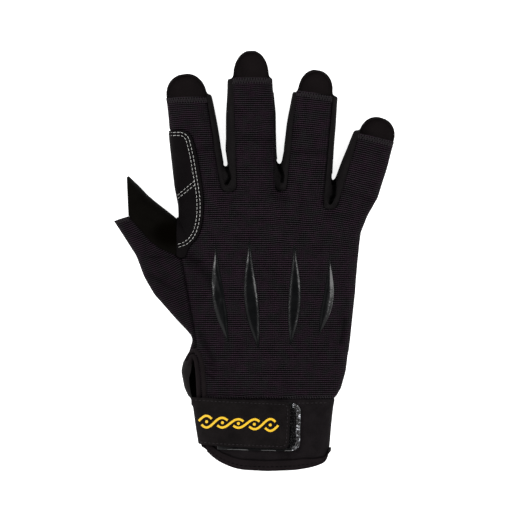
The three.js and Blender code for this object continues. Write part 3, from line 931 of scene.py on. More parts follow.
# The strap's sewn-in end is tucked in towards the cuff, the more the lower it is.
STRAP_TUCK = 1.3
points = points_of(strap)
points[:, 0] += STRAP_TUCK * np.clip((12 - points[:, 2]) / 8, 0, 1) * (points[:, 0] < 0)
put_points(strap, points)
STRAP_SEWING = tab(STRAP_TIP - 1.5, STRAP_Y, STRAP_LENGTH, STRAP_WIDTH - 3.0, 3, STRAP_TILT)
emboss(strap, STRAP_SEWING, 0.3, 0.45)
emboss(strap, [(STRAP_TIP - 6.2, STRAP_Y - 11.5), (STRAP_TIP - 6.2, STRAP_Y + 11.5)], 0.2, 0.45)

# %% [markdown]
# ## The slit's rolled edge
# The wrist opens with a short slit beside the thumb, and its edge is bound with a rolled tape. Two round
# cords that run side by side down the slit and meet in a loop at its top give the roll. A curve with a
# round bevel makes such a cord.

# %% Rolled binding
def on_glove(x, y, tree=None):
    """The point on the glove's upper side at a place seen from above, in millimetres, and its normal."""
    spot, normal, _, _ = (tree or outer_tree).ray_cast(Vector((x * MM, y * MM, 0.1)), Vector((0, 0, -1)))
    return (np.array(spot) / MM, np.array(normal)) if spot else (None, None)


def cord(name, points, radius, sides=6):
    """A round cord through points in millimetres."""
    deselect()
    bpy.ops.curve.primitive_bezier_curve_add()
    obj = bpy.context.object
    obj.data.splines.clear()
    spline = obj.data.splines.new("NURBS")
    spline.points.add(len(points) - 1)
    for target, point in zip(spline.points, points):
        target.co = (*(c * MM for c in point), 1)
    spline.use_endpoint_u = True
    spline.order_u = 4
    spline.resolution_u = 4
    obj.data.dimensions = "3D"
    obj.data.bevel_depth = radius * MM
    obj.data.bevel_resolution = sides // 2
    obj.data.use_fill_caps = True
    bpy.ops.object.convert(target="MESH")
    obj = bpy.context.object
    obj.name = obj.data.name = name
    edit(obj)
    bpy.ops.mesh.remove_doubles(threshold=WELD)
    close()
    return obj


def on_slope(line, lift):
    """Lifts a line seen from above onto the glove, along its normals."""
    points = []
    for x, y in line:
        spot, normal = on_glove(x, y)
        points.append(spot + lift * normal)
    return points


inner_roll = [(-36.9, -59.0), (-36.3, -55.4), (-34.9, -53.7), (-33.3, -55.4), (-32.5, -60.0), (-31.8, -68.0),
              (-31.5, -78.0), (-31.2, -84.0)]
outer_roll = [(-38.6, -56.8), (-37.0, -53.0), (-34.8, -51.0), (-32.3, -51.6), (-30.7, -54.6), (-29.6, -60.0),
              (-28.9, -68.0), (-28.5, -78.0), (-28.3, -84.0)]
rolls = [cord("roll", on_slope(inner_roll, 0.2), 1.42, 12), cord("roll", on_slope(outer_roll, 0.0), 1.4, 12)]
slit_roll = join(rolls, "slit_roll")

# %% [markdown]
# ## Film flashes and the band on the strap
# The back carries thin glossy transfers. Each leaf is an outline that cuts a hair-thin skin out of the
# grown hand form, so it follows every wave of the cloth. The strap's raised twist of two strands is cut out
# of a skin over the strap in the same way.

# %% Leaf-shaped flashes
def leaf(start, end, width, bow):
    """A slender leaf from start to end, bowed to one side."""
    start, end = np.array(start), np.array(end)
    way = end - start
    side = np.array([-way[1], way[0]]) / np.hypot(*way)
    left, right = [], []
    for t in np.linspace(0, 1, 33):
        half = width / 2 * math.sin(math.pi * t ** 0.8) ** 1.2
        middle = start + t * way + bow * math.sin(math.pi * t) * side
        left.append(tuple(middle + half * side))
        right.append(tuple(middle - half * side))
    return left + right[-2:0:-1]


# Each leaf's start and end, its width and its bow.
LEAVES = [((-15, -46), (-22, 10), 7.0, 2.5), ((2, -50), (-3, 14), 8.0, 2.0), ((20, -48), (22, 12), 7.2, -1.5),
          ((36, -42), (42, 2), 6.0, -2.5)]
# The film's upper and lower face, seen from the hand form, and how far its middle puffs up.
FILM_FACES = (0.12, -0.25)
FILM_PUFF = 0.45
film, under = (grown(outer, face, "film") for face in FILM_FACES)
for form in (film, under):
    settle(form, reach=3 * WALL)
combine(film, "DIFFERENCE", under)
outlines = [leaf(*row) for row in LEAVES]
flashes = [combine(copy_of(film, "flash"), "INTERSECT", slab(line, SIDE_SEAM + 1)) for line in outlines]
drop(film)
for part in flashes:
    clean(part)
flash = join(flashes, "film_flashes")
split_faces(flash)
points, normals = points_of(flash), normals_of(flash)
near = np.minimum.reduce([distance_to(points, line + line[:1]) for line in outlines])
points[:, 2] += FILM_PUFF * (1 - np.exp(-((near / 1.2) ** 2))) * (normals[:, 2] > 0.3)
put_points(flash, points)
print("flashes have", triangles(flash), "triangles")

# %% The twisted band
def ribbon(line, width):
    """The outline of a flat strand along a line."""
    return moved(line, width / 2) + moved(line, -width / 2)[::-1]


def along_strap(s, v):
    """A point on the strap: s along it from its tip towards the thumb, v across it."""
    c, d = math.cos(STRAP_TILT), math.sin(STRAP_TILT)
    return STRAP_TIP - s * c - v * d, STRAP_Y - s * d + v * c


BAND_START, BAND_LENGTH, BAND_SWING, BAND_LOOPS = 6.5, 45.0, 3.4, 5
BAND_WIDTH, BAND_DOT, BAND_GAP = 1.25, 0.85, 1.5
BAND_FACES = (0.16, -0.3)


def strand(side, cut_at):
    """The stretches of one strand. It is cut short where it passes under the other one."""
    stretches = [[]]
    for t in np.linspace(0, 1, 161):
        swing = BAND_SWING * math.sin(math.pi * BAND_LOOPS * t) * (0.85 + 0.15 * math.cos(2 * math.pi * t))
        crossing = round(t * BAND_LOOPS)
        near = abs(t * BAND_LOOPS - crossing) * BAND_LENGTH / BAND_LOOPS < BAND_GAP
        if crossing % 2 == cut_at and near and 0.02 < t < 0.98:
            stretches.append([])
        else:
            stretches[-1].append(along_strap(BAND_START + t * BAND_LENGTH, side * swing))
    return [line for line in stretches if len(line) > 4]


def topmost(obj):
    """Keeps an object's highest part: a skin round the strap has a lower side too, which is hidden."""
    *others, top = sorted(loose_parts(obj, 60), key=lambda part: points_of(part)[:, 2].mean())
    drop(*others)
    return top


band_outlines = [ribbon(line, BAND_WIDTH) for line in strand(1, 0) + strand(-1, 1)]
for i in range(BAND_LOOPS):
    x, y = along_strap(BAND_START + (i + 0.5) * BAND_LENGTH / BAND_LOOPS, 0)
    turns = np.linspace(0, 2 * math.pi, 25)[:-1]
    band_outlines.append([(x + BAND_DOT * math.cos(a), y + BAND_DOT * math.sin(a)) for a in turns])
skin, core = (grown(strap, face, "skin") for face in BAND_FACES)
combine(skin, "DIFFERENCE", core)
band_parts = [topmost(combine(copy_of(skin, "band"), "INTERSECT", slab(line, 12))) for line in band_outlines]
drop(skin)
for part in band_parts:
    clean(part)
band = join(band_parts, "twist_band")
print("band has", triangles(band), "triangles")

# %% [markdown]
# ## Sewing
# A stitch is a short piece of thread that lies on the cloth with its ends pulled in. One capsule of a few
# dozen faces is modelled, and every stitch of a seam is a copy of it in one joined mesh, stretched from
# hole to hole.

# %% Threads
deselect()
bpy.ops.mesh.primitive_uv_sphere_add(segments=8, ring_count=6, radius=1)
bpy.context.object.rotation_euler = (0, math.pi / 2, 0)
bpy.ops.object.transform_apply()
capsule = bpy.context.object
capsule_points = np.array([v.co for v in capsule.data.vertices])
capsule_faces = [tuple(p.vertices) for p in capsule.data.polygons]
drop(capsule)


def threads(name, runs, radius):
    """One mesh of many short threads. Each run is (start, end) in millimetres."""
    points, faces = [], []
    for start, end in runs:
        way = np.array(end) - start
        length = np.linalg.norm(way)
        way /= length
        side = np.cross((0, 0, 1), way)
        side /= max(np.linalg.norm(side), 1e-6)
        up = np.cross(way, side)
        local = capsule_points * radius
        local[:, 0] += np.sign(np.round(capsule_points[:, 0], 3)) * max(length / 2 - radius, 0)
        first = len(points) * len(capsule_points)
        points.append((start + end) / 2 + local[:, :1] * way + local[:, 1:2] * side + local[:, 2:] * up)
        faces += [tuple(first + i for i in face) for face in capsule_faces]
    mesh = bpy.data.meshes.new(name)
    mesh.from_pydata((np.concatenate(points) * MM).tolist(), [], faces)
    obj = bpy.data.objects.new(name, mesh)
    bpy.context.collection.objects.link(obj)
    print(name, "has", len(runs), "threads and", triangles(obj), "triangles")
    return obj


# Stitches start and end at places that lie this far apart.
HOLE_STEP = 0.25


def tree_of(obj):
    return BVHTree.FromObject(obj, bpy.context.evaluated_depsgraph_get())


def stations(line, spacing):
    """Places spaced evenly along a line."""
    line = np.array([p[:2] for p in line], float)
    steps = np.hypot(*np.diff(line, axis=0).T)
    far = np.concatenate([[0], np.cumsum(steps)])
    where = np.arange(0, far[-1], spacing)
    return np.stack([np.interp(where, far, line[:, 0]), np.interp(where, far, line[:, 1])], axis=1)


def seam_runs(line, tree, stitch, space, lift=0.0):
    """Straight stitches along a line on a panel."""
    holes = stations(line, HOLE_STEP)
    runs, pitch = [], round((stitch + space) / HOLE_STEP)
    for i in range(0, len(holes) - pitch, pitch):
        ends = [on_glove(*holes[i + k], tree=tree) for k in (0, round(stitch / HOLE_STEP))]
        if all(spot is not None for spot, _ in ends):
            runs.append(tuple(spot + lift * normal for spot, normal in ends))
    return runs


PATCH_ROWS = (-0.1, 1.65)
CROSS_ROWS = ([(-47.5, 34.2), (-32.9, 46.2)], [(-47.5, 32.3), (-32.7, 43.9)])
patch_tree, knit_tree, strap_tree = tree_of(patch), tree_of(knit_back), tree_of(strap)
cuff_tree, hem_tree, thumb_tree = tree_of(cuff_cloth), tree_of(cuff_hem), tree_of(thumb_knit)
rows = []
for inset in PATCH_ROWS:
    rows += seam_runs(moved(bent(PATCH_SEWING), -inset), patch_tree, 1.55, 0.75)
for line in CROSS_ROWS:
    rows += seam_runs(line, patch_tree, 1.5, 0.7)
patch_stitches = threads("patch_stitches", rows, 0.15)

# %% Overlocked finger hems
OVERLOCK_PITCH = 1.5
FINGER_OVERLOCK, THUMB_OVERLOCK = (0.3, 3.4), (0.35, 2.5)


def hem_shares(start, end, tree):
    """Evenly spaced shares along a line over a finger, measured on the surface."""
    shares = np.linspace(0, 1, 241)
    spots = [on_glove(*(start + t * (end - start)), tree=tree)[0] for t in shares]
    kept = [(t, spot) for t, spot in zip(shares, spots) if spot is not None and spot[2] > SIDE_SEAM + 0.4]
    far = np.concatenate([[0], np.cumsum([np.linalg.norm(q[1] - p[1]) for p, q in zip(kept, kept[1:])])])
    return np.interp(np.arange(0.3, far[-1] - 0.2, OVERLOCK_PITCH / 2), far, [t for t, _ in kept])


def overlock(lines, tree, longest):
    """Zigzag threads between two lines that run side by side over an open end."""
    lines = [[np.array(p) for p in line] for line in lines]
    shares = hem_shares(*lines[0], tree)
    runs = []
    for k, pair in enumerate(zip(shares, shares[1:])):
        near, off = lines[k % 2], lines[(k + 1) % 2]
        places = [a + share * (b - a) for share, (a, b) in zip(pair, (near, off))]
        ends = [on_glove(*p, tree=tree) for p in places]
        if all(spot is not None for spot, _ in ends) and np.linalg.norm(ends[0][0] - ends[1][0]) < longest:
            runs.append(tuple(spot + 0.12 * normal for spot, normal in ends))
    return runs


hem_runs = []
for finger in FINGERS:
    lines = [[on_finger(finger, hem_at(finger, v) - back, v) for v in (-20, 20)] for back in FINGER_OVERLOCK]
    hem_runs += overlock(lines, knit_tree, 2 * FINGER_OVERLOCK[1])
thumb_hem = (THUMB_HEM_LEFT, THUMB_TOP_SEAM[0])
lines = [[(x + 0.28 * back, y - 0.96 * back) for x, y in thumb_hem] for back in THUMB_OVERLOCK]
hem_runs += overlock(lines, thumb_tree, 2 * THUMB_OVERLOCK[1])
hem_threads = threads("hem_threads", hem_runs, 0.22)

# %% Dark seams
WRIST_THREADS, WRIST_PITCH = 52, 1.42
grey = seam_runs([(-28.5, WRIST_Y - 2.2), (44, WRIST_Y - 2.2)], cuff_tree, 1.6, 0.8)
for i in range(WRIST_THREADS):
    x = -28.6 + WRIST_PITCH * i
    ends = [on_glove(x + aside, WRIST_Y + up, tree=knit_tree) for aside, up in ((0, 1.7), (0.5, 0.4))]
    if all(spot is not None for spot, _ in ends):
        grey.append(tuple(spot + 0.1 * normal for spot, normal in ends))
grey += seam_runs(STRAP_SEWING, strap_tree, 1.3, 0.9, 0.05)
seam_stitches = threads("seam_stitches", grey, 0.17)

# %% Stitches of the sole and the hem
SOLE_ROWS, SOLE_PITCH = (1.5, 3.1), 2.3
palm_tree = tree_of(palm)
pale = []
for inset in SOLE_ROWS:
    holes = stations(moved(SOLE_PIECE, inset), SOLE_PITCH)
    for start, end in zip(holes, holes[1:]):
        ends = (start, start + 0.68 * (end - start))
        below = [palm_tree.ray_cast(Vector((*(p * MM), -0.01)), Vector((0, 0, 1)))[0] for p in ends]
        if all(below):
            pale.append(tuple(np.array(spot) / MM + (0, 0, 0.06) for spot in below))
palm_stitches = threads("palm_stitches", pale, 0.18)
dark = seam_runs(HEM_MIDDLE, hem_tree, 1.6, 0.9)
dark += seam_runs([(x - 1.0, y) for x, y in HAND_SEAM], thumb_tree, 1.5, 0.8, -0.05)
dark_stitches = threads("dark_stitches", dark, 0.2)

# %% [markdown]
# ## Hooks and the glossy edge
# The patch under the strap is moulded hook tape: rows of stiff little hooks, and a smooth sealed edge that
# catches the light. The hooks are short straight threads that lean a little, and the edge is a cord.
# The bright blotches on the edge are painted highlights: mirror-like spots placed by noise.

# %% Hooks
HOOK_COLUMNS, HOOK_ROWS, HOOK_PITCH, HOOK_RIM = 60, 34, 0.8, 1.9
# Each rim cord's inset from the patch's edge, its radius, its lift and how far left it goes.
RIMS = [(0.9, 0.75, 0.1, -20), (2.1, 0.6, 0.0, 15)]
random.seed(7)
hook_tree = tree_of(hooks)
hook_runs = []
for i in range(HOOK_COLUMNS):
    for j in range(HOOK_ROWS):
        x = -21 + (i + (j % 2) / 2) * HOOK_PITCH + random.uniform(-0.12, 0.12)
        y = STRAP_Y - 14.2 + j * HOOK_PITCH + random.uniform(-0.12, 0.12)
        covered = x < STRAP_TIP - 1 and y > STRAP_Y - 12.4 + 0.02 * x
        spot, normal = on_glove(x, y, tree=hook_tree)
        if covered or spot is None or normal[2] < 0.8:
            continue
        if distance_to(np.array([[x, y]]), HOOK_PATCH)[0] < HOOK_RIM:
            continue
        tip = spot + 0.5 * normal + np.array([random.uniform(-0.35, 0.35), random.uniform(-0.35, 0.35), 0])
        hook_runs.append((spot - 0.1 * normal, tip))
hook_bristles = threads("hook_bristles", hook_runs, 0.18)
rims = []
for inset, radius, lift, left in RIMS:
    line = [p for p in moved(HOOK_PATCH, inset) if p[0] > -20][1:-1]
    ends = [on_glove(*p, tree=hook_tree) for p in line if p[0] > left]
    spots = [spot + lift * normal for spot, normal in ends if spot is not None]
    rims.append(cord("hook_rim", spots, radius, 12))
hook_rim = join(rims, "hook_rim")

# %% [markdown]
# ## Where the ribs run
# The knit's ribs lie square to each finger and straight across the hand. Each point of the knit gets its
# distance along the cloth and across it as attributes, blended from the hand to the nearest fingers, and the
# material turns them into ribs and stitch columns. So the ribs bend round the webs as the cloth does.

# %% The cloth's own directions
def step(v, low, high):
    t = np.clip((v - low) / (high - low), 0, 1)
    return t * t * (3 - 2 * t)


def cloth_places(p):
    """How far along and across the hand's cloth many points are."""
    x, y = p[:, 0], p[:, 1]
    weights, rib, wale = [], np.zeros(len(p)), np.zeros(len(p))
    for finger in FINGERS:
        ahead, aside = heading(finger["rib_lean"])
        offset = p[:, :2] - finger["knuckle"]
        across = offset @ aside
        weights.append(np.exp(-((across / 11.0) ** 2)) + 1e-9)
        rib += weights[-1] * (finger["knuckle"][1] + offset @ ahead)
        wale += weights[-1] * (finger["knuckle"][0] + across)
    total = sum(weights)
    share = step(y, -12, 34)
    return (1 - share) * y + share * rib / total, (1 - share) * x + share * wale / total


def thumb_places(p):
    ahead, aside = heading(-31.0)
    offset = p[:, :2] - THUMB["base"]
    bow = 0.006 * (offset @ aside) ** 2
    return offset @ ahead - bow, offset @ aside


def mark(obj, name, values):
    attribute = obj.data.attributes.new(name, "FLOAT", "POINT")
    attribute.data.foreach_set("value", np.ascontiguousarray(values, dtype=np.float32))


def inside_share(obj):
    """One on a panel's inner face and nought on its outer one."""
    return np.array([min(outer_tree.find_nearest(v.co)[3] / MM / WALL, 1.0) for v in obj.data.vertices])


THUMB_SHADE = 0.3
# Where the thumb's leather gets a painted shadow in its deep dent: the middle, and half its length and width.
HOLLOW_SHADE_AREA = (-48.0, 15.4, 9.5, 7.6)
for obj, places, least in ((knit_back, cloth_places, 0.0), (thumb_knit, thumb_places, THUMB_SHADE)):
    points = points_of(obj)
    for name, values in zip(("rib", "wale"), places(points)):
        mark(obj, name, values)
    mark(obj, "shade", np.maximum(shade(points), least))
# Painted shade: the strips are darker in their creases, kept as the shade attribute.
for obj in strips:
    points = points_of(obj)
    mark(obj, "shade", np.clip(-creases(points) / 2.2, 0, 1) * step(points[:, 2], 6, 9))
mark(hooks, "edge", 1 - step(distance_to(points_of(hooks), HOOK_PATCH), 1.7, 2.3))
for obj in (palm, thumb_leather):
    mark(obj, "inside", inside_share(obj))
# Painted shadow: the thumb's leather is marked for a near-black shader in its deep dent.
points = points_of(thumb_leather)
deep = sum(((points[:, i] - HOLLOW_SHADE_AREA[i]) / HOLLOW_SHADE_AREA[i + 2]) ** 2 for i in (0, 1))
mark(thumb_leather, "hollow_shade", np.exp(-(deep ** 2.4)) * step(points[:, 2], 5, 8))


def within(points, outline):
    """One for each point inside an outline seen from above, and nought for the others."""
    inside = np.zeros(len(points), bool)
    for (x0, y0), (x1, y1) in zip(outline, outline[1:] + outline[:1]):
        across = (points[:, 1] < y0) != (points[:, 1] < y1)
        where = x0 + (points[:, 1] - y0) * (x1 - x0) / ((y1 - y0) or 1e-9)
        inside ^= across & (points[:, 0] < where)
    return inside.astype(float)


points = points_of(palm)
low = points[:, 2] < SOLE_TOP
mark(palm, "sewn", within(points, SOLE_PIECE) * low)
# Painted shade: the palm is darker along the sole piece's groove and along the side seam.
side_seam_shade = np.exp(-(((points[:, 2] - SIDE_SEAM) / 0.5) ** 2))
mark(palm, "shade", np.maximum(bell(points, SOLE_PIECE, 0.8) * low, side_seam_shade))

# %% [markdown]
# ## Materials
# Everything on this glove is nearly black, so what tells the cloths apart is how they break the light: ribs
# and stitch columns on the knit, a fine grain on the leather, a flat sheen on the tape. Some of it is painted
# light: the knit's ribs are painted lighter on their ridges, folds, seams and creases are painted darker as
# shade, the thumb's dent gets a painted shadow, and the hook tape's edge has painted highlights. Shader maths
# is written as Python expressions through a small class that wraps a socket.

# %% Shader maths
class Wire:
    """An output socket of a material's nodes."""

    def __init__(self, cloth, socket):
        self.cloth = cloth
        self.socket = socket

    def maths(self, operation, *values):
        return self.cloth.node("ShaderNodeMath", {"operation": operation}, dict(enumerate(values)))

    def __add__(self, other):
        return self.maths("ADD", self, other)

    def __sub__(self, other):
        return self.maths("SUBTRACT", self, other)

    def __rsub__(self, other):
        return self.maths("SUBTRACT", other, self)

    def __mul__(self, other):
        return self.maths("MULTIPLY", self, other)

    def __pow__(self, other):
        return self.maths("POWER", self, other)

    __radd__ = __add__
    __rmul__ = __mul__

    def wave(self, pitch):
        """A smooth ridge from 0 to 1, once every pitch."""
        return self.maths("COSINE", self * (2 * math.pi / pitch)) * 0.5 + 0.5


class Finish:
    """A material in the making."""

    def __init__(self, name, **constants):
        self.material = bpy.data.materials.new(name)
        self.material.use_nodes = True
        self.tree = self.material.node_tree
        self.shader = self.tree.nodes["Principled BSDF"]
        for socket, value in constants.items():
            self.shader.inputs[socket.replace("_", " ")].default_value = value

    def node(self, kind, settings, values, output=0):
        node = self.tree.nodes.new(kind)
        for key, value in settings.items():
            setattr(node, key, value)
        for key, value in values.items():
            self.put(node.inputs[key], value)
        return Wire(self, node.outputs[output])

    def put(self, socket, value):
        if isinstance(value, Wire):
            self.tree.links.new(value.socket, socket)
        else:
            socket.default_value = value

    def feed(self, socket, value):
        self.put(self.shader.inputs[socket], value)

    def attribute(self, name):
        return self.node("ShaderNodeAttribute", {"attribute_name": name}, {}, "Fac")

    def place(self):
        return self.node("ShaderNodeTexCoord", {}, {}, "Object")

    def noise(self, size, detail=3.0, roughness=0.6):
        """Noise with lumps about one size across, in millimetres."""
        values = {"Vector": self.place(), "Scale": 1 / (size * MM), "Detail": detail, "Roughness": roughness}
        return self.node("ShaderNodeTexNoise", {}, values)

    def mix(self, share, first, second):
        first, second = (end if isinstance(end, Wire) else (*end, 1) for end in (first, second))
        return self.node("ShaderNodeMix", {"data_type": "RGBA"}, {0: share, 6: first, 7: second}, 2)

    def clamp(self, value, low, high):
        return self.node("ShaderNodeMapRange", {}, {0: value, 1: low, 2: high})

    def bump(self, height, depth):
        """A bump of a height from 0 to 1 and a depth in millimetres."""
        self.feed("Normal", self.node("ShaderNodeBump", {}, {"Height": height, "Distance": depth * MM}))


# %% Finishes
SEAM_SHADE_COLOUR = (0.0003, 0.0002, 0.0002)
CREASE_SHADE_COLOUR = (0.0003, 0.0001, 0.0002)
WINE_YARN, GREY_YARN = (0.0287, 0.0166, 0.0258), (0.0212, 0.0192, 0.0214)


def knit_finish():
    f = Finish("ribbed_knit", Roughness=0.9, Specular_IOR_Level=0.03)
    rib, wale = f.attribute("rib"), f.attribute("wale")
    drift = f.noise(9.0, 2.0) * 0.5
    ridge = (rib + drift * 1.8).wave(1.17)
    column = (wale + drift * 0.3).wave(1.05)
    fuzz = f.noise(0.45, 4.0, 0.7)
    # Painted highlight and shade: the base colour is lighter on the rib ridges and stitch tops and near black
    # in the grooves between them, while the fuzz and patches are the fibres' own uneven tone.
    yarn_and_rib_light = ridge ** 2.6 * (column * 0.6 + 0.65) + (fuzz - 0.5) * 1.0
    patches = f.noise(6.0, 3.0)
    # Painted shade: darker where the shade attribute marks folds and seam grooves.
    light = (yarn_and_rib_light + (patches - 0.5) * 0.35) * (1 - f.attribute("shade") * 0.8)
    hue = f.mix(f.clamp((f.noise(5.0, 2.0) - 0.38) * 4, 0, 1), WINE_YARN, GREY_YARN)
    f.feed("Base Color", f.mix(f.clamp(light, 0, 1), (0.0002, 0.0001, 0.0002), hue))
    f.bump(ridge * 0.8 + column * 0.12 + fuzz * 0.15, 0.22)
    return f.material


def leather_finish(name, dark, light, rough, level, nap=None, hollow_shade=False):
    """Smooth leather between two tones. Nap gives those of its inner face, and with it the sewn piece is darker
    and the seams get painted shade. With hollow set, a painted shadow is mixed in.
    """
    f = Finish(name, Specular_IOR_Level=level)
    grain = f.noise(0.5, 4.0, 0.65)
    patches = f.noise(7.0, 3.0)
    shade = f.clamp((grain - 0.5) * 1.1 + (patches - 0.5) * 1.2 + 0.5, 0, 1)
    colour = f.mix(shade, dark, light)
    if nap:
        sewn = f.mix(shade, tuple(0.5 * c for c in dark), tuple(0.6 * c for c in light))
        colour = f.mix(f.attribute("sewn"), colour, sewn)
        colour = f.mix(f.attribute("inside"), colour, f.mix(shade, *nap))
        # Painted shade along the seams, where the shade attribute is.
        colour = f.mix(f.attribute("shade") * 0.85, colour, SEAM_SHADE_COLOUR)
    f.feed("Base Color", colour)
    f.feed("Roughness", grain * 0.2 + (rough - 0.1))
    f.bump(grain, 0.06)
    if hollow_shade:
        # Painted shadow: a near-black diffuse shader is mixed in over the thumb's deep dent.
        shadow = f.node("ShaderNodeBsdfDiffuse", {}, {"Color": (0.0009, 0.0006, 0.0002, 1)})
        mixed = {0: f.attribute("hollow_shade") * 0.85, 1: Wire(f, f.shader.outputs[0]), 2: shadow}
        blend = f.node("ShaderNodeMixShader", {}, mixed)
        f.tree.links.new(blend.socket, f.tree.nodes["Material Output"].inputs["Surface"])
    return f.material


def cloth_finish(name, dark, light, pitch, crease_shade=False):
    """Smooth cloth with a fine square weave of a pitch in millimetres. Its last flag paints shade into the
    creases.
    """
    f = Finish(name, Roughness=0.85, Specular_IOR_Level=0.04)
    across, along = (f.node("ShaderNodeSeparateXYZ", {}, {0: f.place()}, k) * (1 / MM) for k in ("X", "Y"))
    weave = across.wave(pitch) * 0.5 + along.wave(pitch) * 0.5
    fuzz = f.noise(0.5, 4.0, 0.7)
    patches = f.noise(8.0, 3.0)
    shade = weave * 0.3 + (fuzz - 0.5) * 1.3 + (patches - 0.5) * 1.2 + 0.4
    colour = f.mix(f.clamp(shade, 0, 1), dark, light)
    # Painted shade: the creases are mixed towards near black.
    if crease_shade:
        colour = f.mix(f.attribute("shade") * 0.9, colour, CREASE_SHADE_COLOUR)
    f.feed("Base Color", colour)
    f.bump(weave * 0.6 + fuzz * 0.4, 0.05)
    return f.material


def glint_film_finish(name):
    """Black plastic film with bright mirror-like blotches placed by noise: painted highlights, which reflect
    the lamps where the noise puts them.
    """
    f = Finish(name, Roughness=0.25, Specular_IOR_Level=0.6)
    wrinkles = f.noise(1.9, 2.0)
    # Painted highlights: bright metallic blotches where the noise is high.
    flash = f.clamp((wrinkles - 0.54) * 12, 0, 1)
    f.feed("Base Color", f.mix(flash, (0.003, 0.003, 0.0034), (0.5, 0.51, 0.54)))
    f.feed("Metallic", flash)
    f.bump(wrinkles, 0.5)
    return f.material


def plain_finish(name, colour, rough, level, grain=0.4, depth=0.03, coated=False):
    """One colour with specks about one grain across. Coated adds a clear film where the edge attribute is."""
    f = Finish(name, Specular_IOR_Level=level)
    speck = f.noise(grain, 3.0)
    if coated:
        f.feed("Coat Weight", f.attribute("edge"))
        f.shader.inputs["Coat Roughness"].default_value = 0.06
    f.feed("Base Color", f.mix(speck, tuple(0.75 * c for c in colour), tuple(1.25 * c for c in colour)))
    f.feed("Roughness", speck * 0.16 + (rough - 0.08))
    f.bump(speck, depth)
    return f.material


# %% The materials
THUMB_TONES = ((0.0012, 0.001, 0.0007), (0.003, 0.0026, 0.002))
KNIT = knit_finish()
LEATHER = leather_finish("palm_leather", (0.0035, 0.003, 0.003), (0.008, 0.007, 0.007), 0.62, 0.03,
                         nap=((0.005, 0.0036, 0.0039), (0.0095, 0.007, 0.0075)))
THUMB_LEATHER = leather_finish("thumb_leather", *THUMB_TONES, 0.8, 0.02, nap=THUMB_TONES, hollow_shade=True)
PATCH_LEATHER = leather_finish("patch_leather", (0.002, 0.0016, 0.0018), (0.0044, 0.0034, 0.0038), 0.7, 0.025)
STRIP = cloth_finish("strip_cloth", (0.004, 0.0034, 0.0036), (0.0085, 0.0074, 0.0078), 0.45, crease_shade=True)
CUFF = cloth_finish("cuff_cloth", (0.0020, 0.0014, 0.0017), (0.0104, 0.0084, 0.0093), 0.5)
BINDING = cloth_finish("binding_tape", (0.0045, 0.0033, 0.0037), (0.0095, 0.007, 0.0078), 0.6)
STRAP = cloth_finish("strap_cloth", (0.0018, 0.0014, 0.0014), (0.0098, 0.008, 0.0083), 0.4)
HOOKS = plain_finish("hook_tape", (0.0010, 0.0010, 0.0012), 0.5, 0.05, 1.3, 0.7, coated=True)
BRISTLES = plain_finish("hook_bristles", (0.0012, 0.0012, 0.0014), 0.18, 0.7)
RIM_GLINTS = glint_film_finish("hook_tape_edge_glints")
FILM = plain_finish("gloss_film", (0.0016, 0.0018, 0.0021), 0.2, 0.5, 6.0, 0.25)
YELLOW = plain_finish("yellow_print", (0.74, 0.45, 0.02), 0.5, 0.3)
WHITE_THREAD = plain_finish("pale_thread", (0.46, 0.46, 0.44), 0.6, 0.3)
GREY_THREAD = plain_finish("grey_thread", (0.0145, 0.0122, 0.0136), 0.7, 0.1)
SEAM_THREAD = plain_finish("seam_thread", (0.022, 0.0190, 0.0207), 0.7, 0.1)
PALM_THREAD = plain_finish("palm_thread", (0.16, 0.155, 0.15), 0.6, 0.2)
DARK_THREAD = plain_finish("dark_thread", (0.0012, 0.001, 0.001), 0.7, 0.03)

# %% [markdown]
# ## Putting it together
# Each piece takes its material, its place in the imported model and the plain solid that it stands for. Nothing
# moves on its own, so all pieces ride the one body.

# %% Pieces, nodes and slots
PIECES = [
    (knit_back, KNIT, "knit", ["back_panel"]),
    (palm, LEATHER, "palm_leather", ["palm_panel"]),
    (strips[0], STRIP, "side_strip", ["side_strip_index_middle"]),
    (strips[1], STRIP, "side_strip", ["side_strip_middle_ring"]),
    (strips[2], STRIP, "side_strip", ["side_strip_ring_little"]),
    (patch, PATCH_LEATHER, "palm_leather", ["index_patch"]),
    (thumb_knit, KNIT, "knit", ["thumb_back"]),
    (thumb_leather, THUMB_LEATHER, "palm_leather", ["thumb_palm"]),
    (cuff_cloth, CUFF, "cuff_cloth", ["cuff"]),
    (cuff_hem, BINDING, "binding", ["cuff_binding"]),
    (slit_roll, BINDING, "binding", ["slit_binding"]),
    (hooks, HOOKS, "hook_tape", ["fastener_patch"]),
    (strap, STRAP, "strap_cloth", ["wrist_strap"]),
    (hook_bristles, BRISTLES, "hook_tape", []),
    (hook_rim, RIM_GLINTS, "hook_tape", []),
    (flash, FILM, "gloss_film", []),
    (band, YELLOW, "yellow_print", []),
    (patch_stitches, WHITE_THREAD, "thread", []),
    (hem_threads, GREY_THREAD, "thread", []),
    (dark_stitches, DARK_THREAD, "thread", []),
    (seam_stitches, SEAM_THREAD, "thread", []),
    (palm_stitches, PALM_THREAD, "thread", []),
]
drop(outer, inner, shell, upper, lower)
for obj, material, slot, nodes in PIECES:
    obj.data.materials.clear()
    obj.data.materials.append(material)
    take(obj)
    bpy.ops.object.shade_smooth_by_angle(angle=math.radians(50))
    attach(obj, "root")
    if nodes:
        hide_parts(*nodes)
print("all pieces:", sum(triangles(entry[0]) for entry in PIECES), "triangles")

# %% [markdown]
# ## Floor, light and camera
# The photograph is a product picture on pure white: large soft lights from the sides, and a camera with a
# long lens straight above. The dark strip overhead keeps the black cloth from washing out.

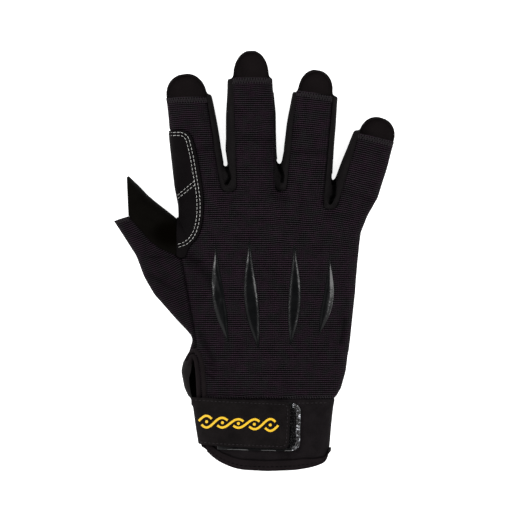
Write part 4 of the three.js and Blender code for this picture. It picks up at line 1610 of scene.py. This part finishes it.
# %% The studio
deselect()
bpy.ops.mesh.primitive_plane_add(size=6)
floor = bpy.context.object
floor.name = "floor"
paper = Finish("floor_paper", Base_Color=(0.85, 0.85, 0.85, 1), Roughness=0.9, Specular_IOR_Level=0.1,
               Emission_Color=(1, 1, 1, 1), Emission_Strength=0.85)
floor.data.materials.append(paper.material)


AIM = Vector((0, 0, 0.01))


def softbox(name, place, watts, size=1.2):
    deselect()
    bpy.ops.object.light_add(type="AREA", location=place)
    lamp = bpy.context.object
    lamp.name = name
    lamp.data.size = size
    lamp.data.energy = watts
    lamp.rotation_euler = (AIM - Vector(place)).to_track_quat("-Z", "Y").to_euler()


softbox("left_light", (-1.3, 0.7, 1.1), 26)
softbox("right_light", (1.4, 0.5, 1.2), 20)
softbox("foot_light", (0.1, -1.5, 1.2), 16)

# %% The sky
# Where the sky turns from white to dark: the height's share, and the tone there.
SKY_TONES = ((0.75, 1), (0.985, 0.08))
world = bpy.context.scene.world or bpy.data.worlds.new("world")
bpy.context.scene.world = world
world.use_nodes = True
backdrop = world.node_tree.nodes["Background"]
backdrop.inputs["Strength"].default_value = 0.55
sky = world.node_tree.nodes.new("ShaderNodeTexCoord")
split = world.node_tree.nodes.new("ShaderNodeSeparateXYZ")
ramp = world.node_tree.nodes.new("ShaderNodeValToRGB")
for stop, (height, tone) in zip(ramp.color_ramp.elements, SKY_TONES):
    stop.position = height
    stop.color = (tone, tone, tone, 1)
world.node_tree.links.new(sky.outputs["Generated"], split.inputs[0])
world.node_tree.links.new(split.outputs["Z"], ramp.inputs[0])
world.node_tree.links.new(ramp.outputs[0], backdrop.inputs["Color"])
bpy.context.scene.view_settings.view_transform = "Standard"

# %% The camera
LENS, SENSOR = 180.0, 36.0
MM_PER_PIXEL, PIXELS = 0.57, 512
FOCUS_HEIGHT = 0.008
height = PIXELS * MM_PER_PIXEL * LENS / SENSOR * MM + FOCUS_HEIGHT
deselect()
bpy.ops.object.camera_add(location=(0.57 * MM, 2.57 * MM, height), rotation=(0, 0, 0))
camera = bpy.context.object
camera.data.lens = LENS
camera.data.sensor_width = SENSOR
camera.data.clip_end = 20
bpy.context.scene.camera = camera
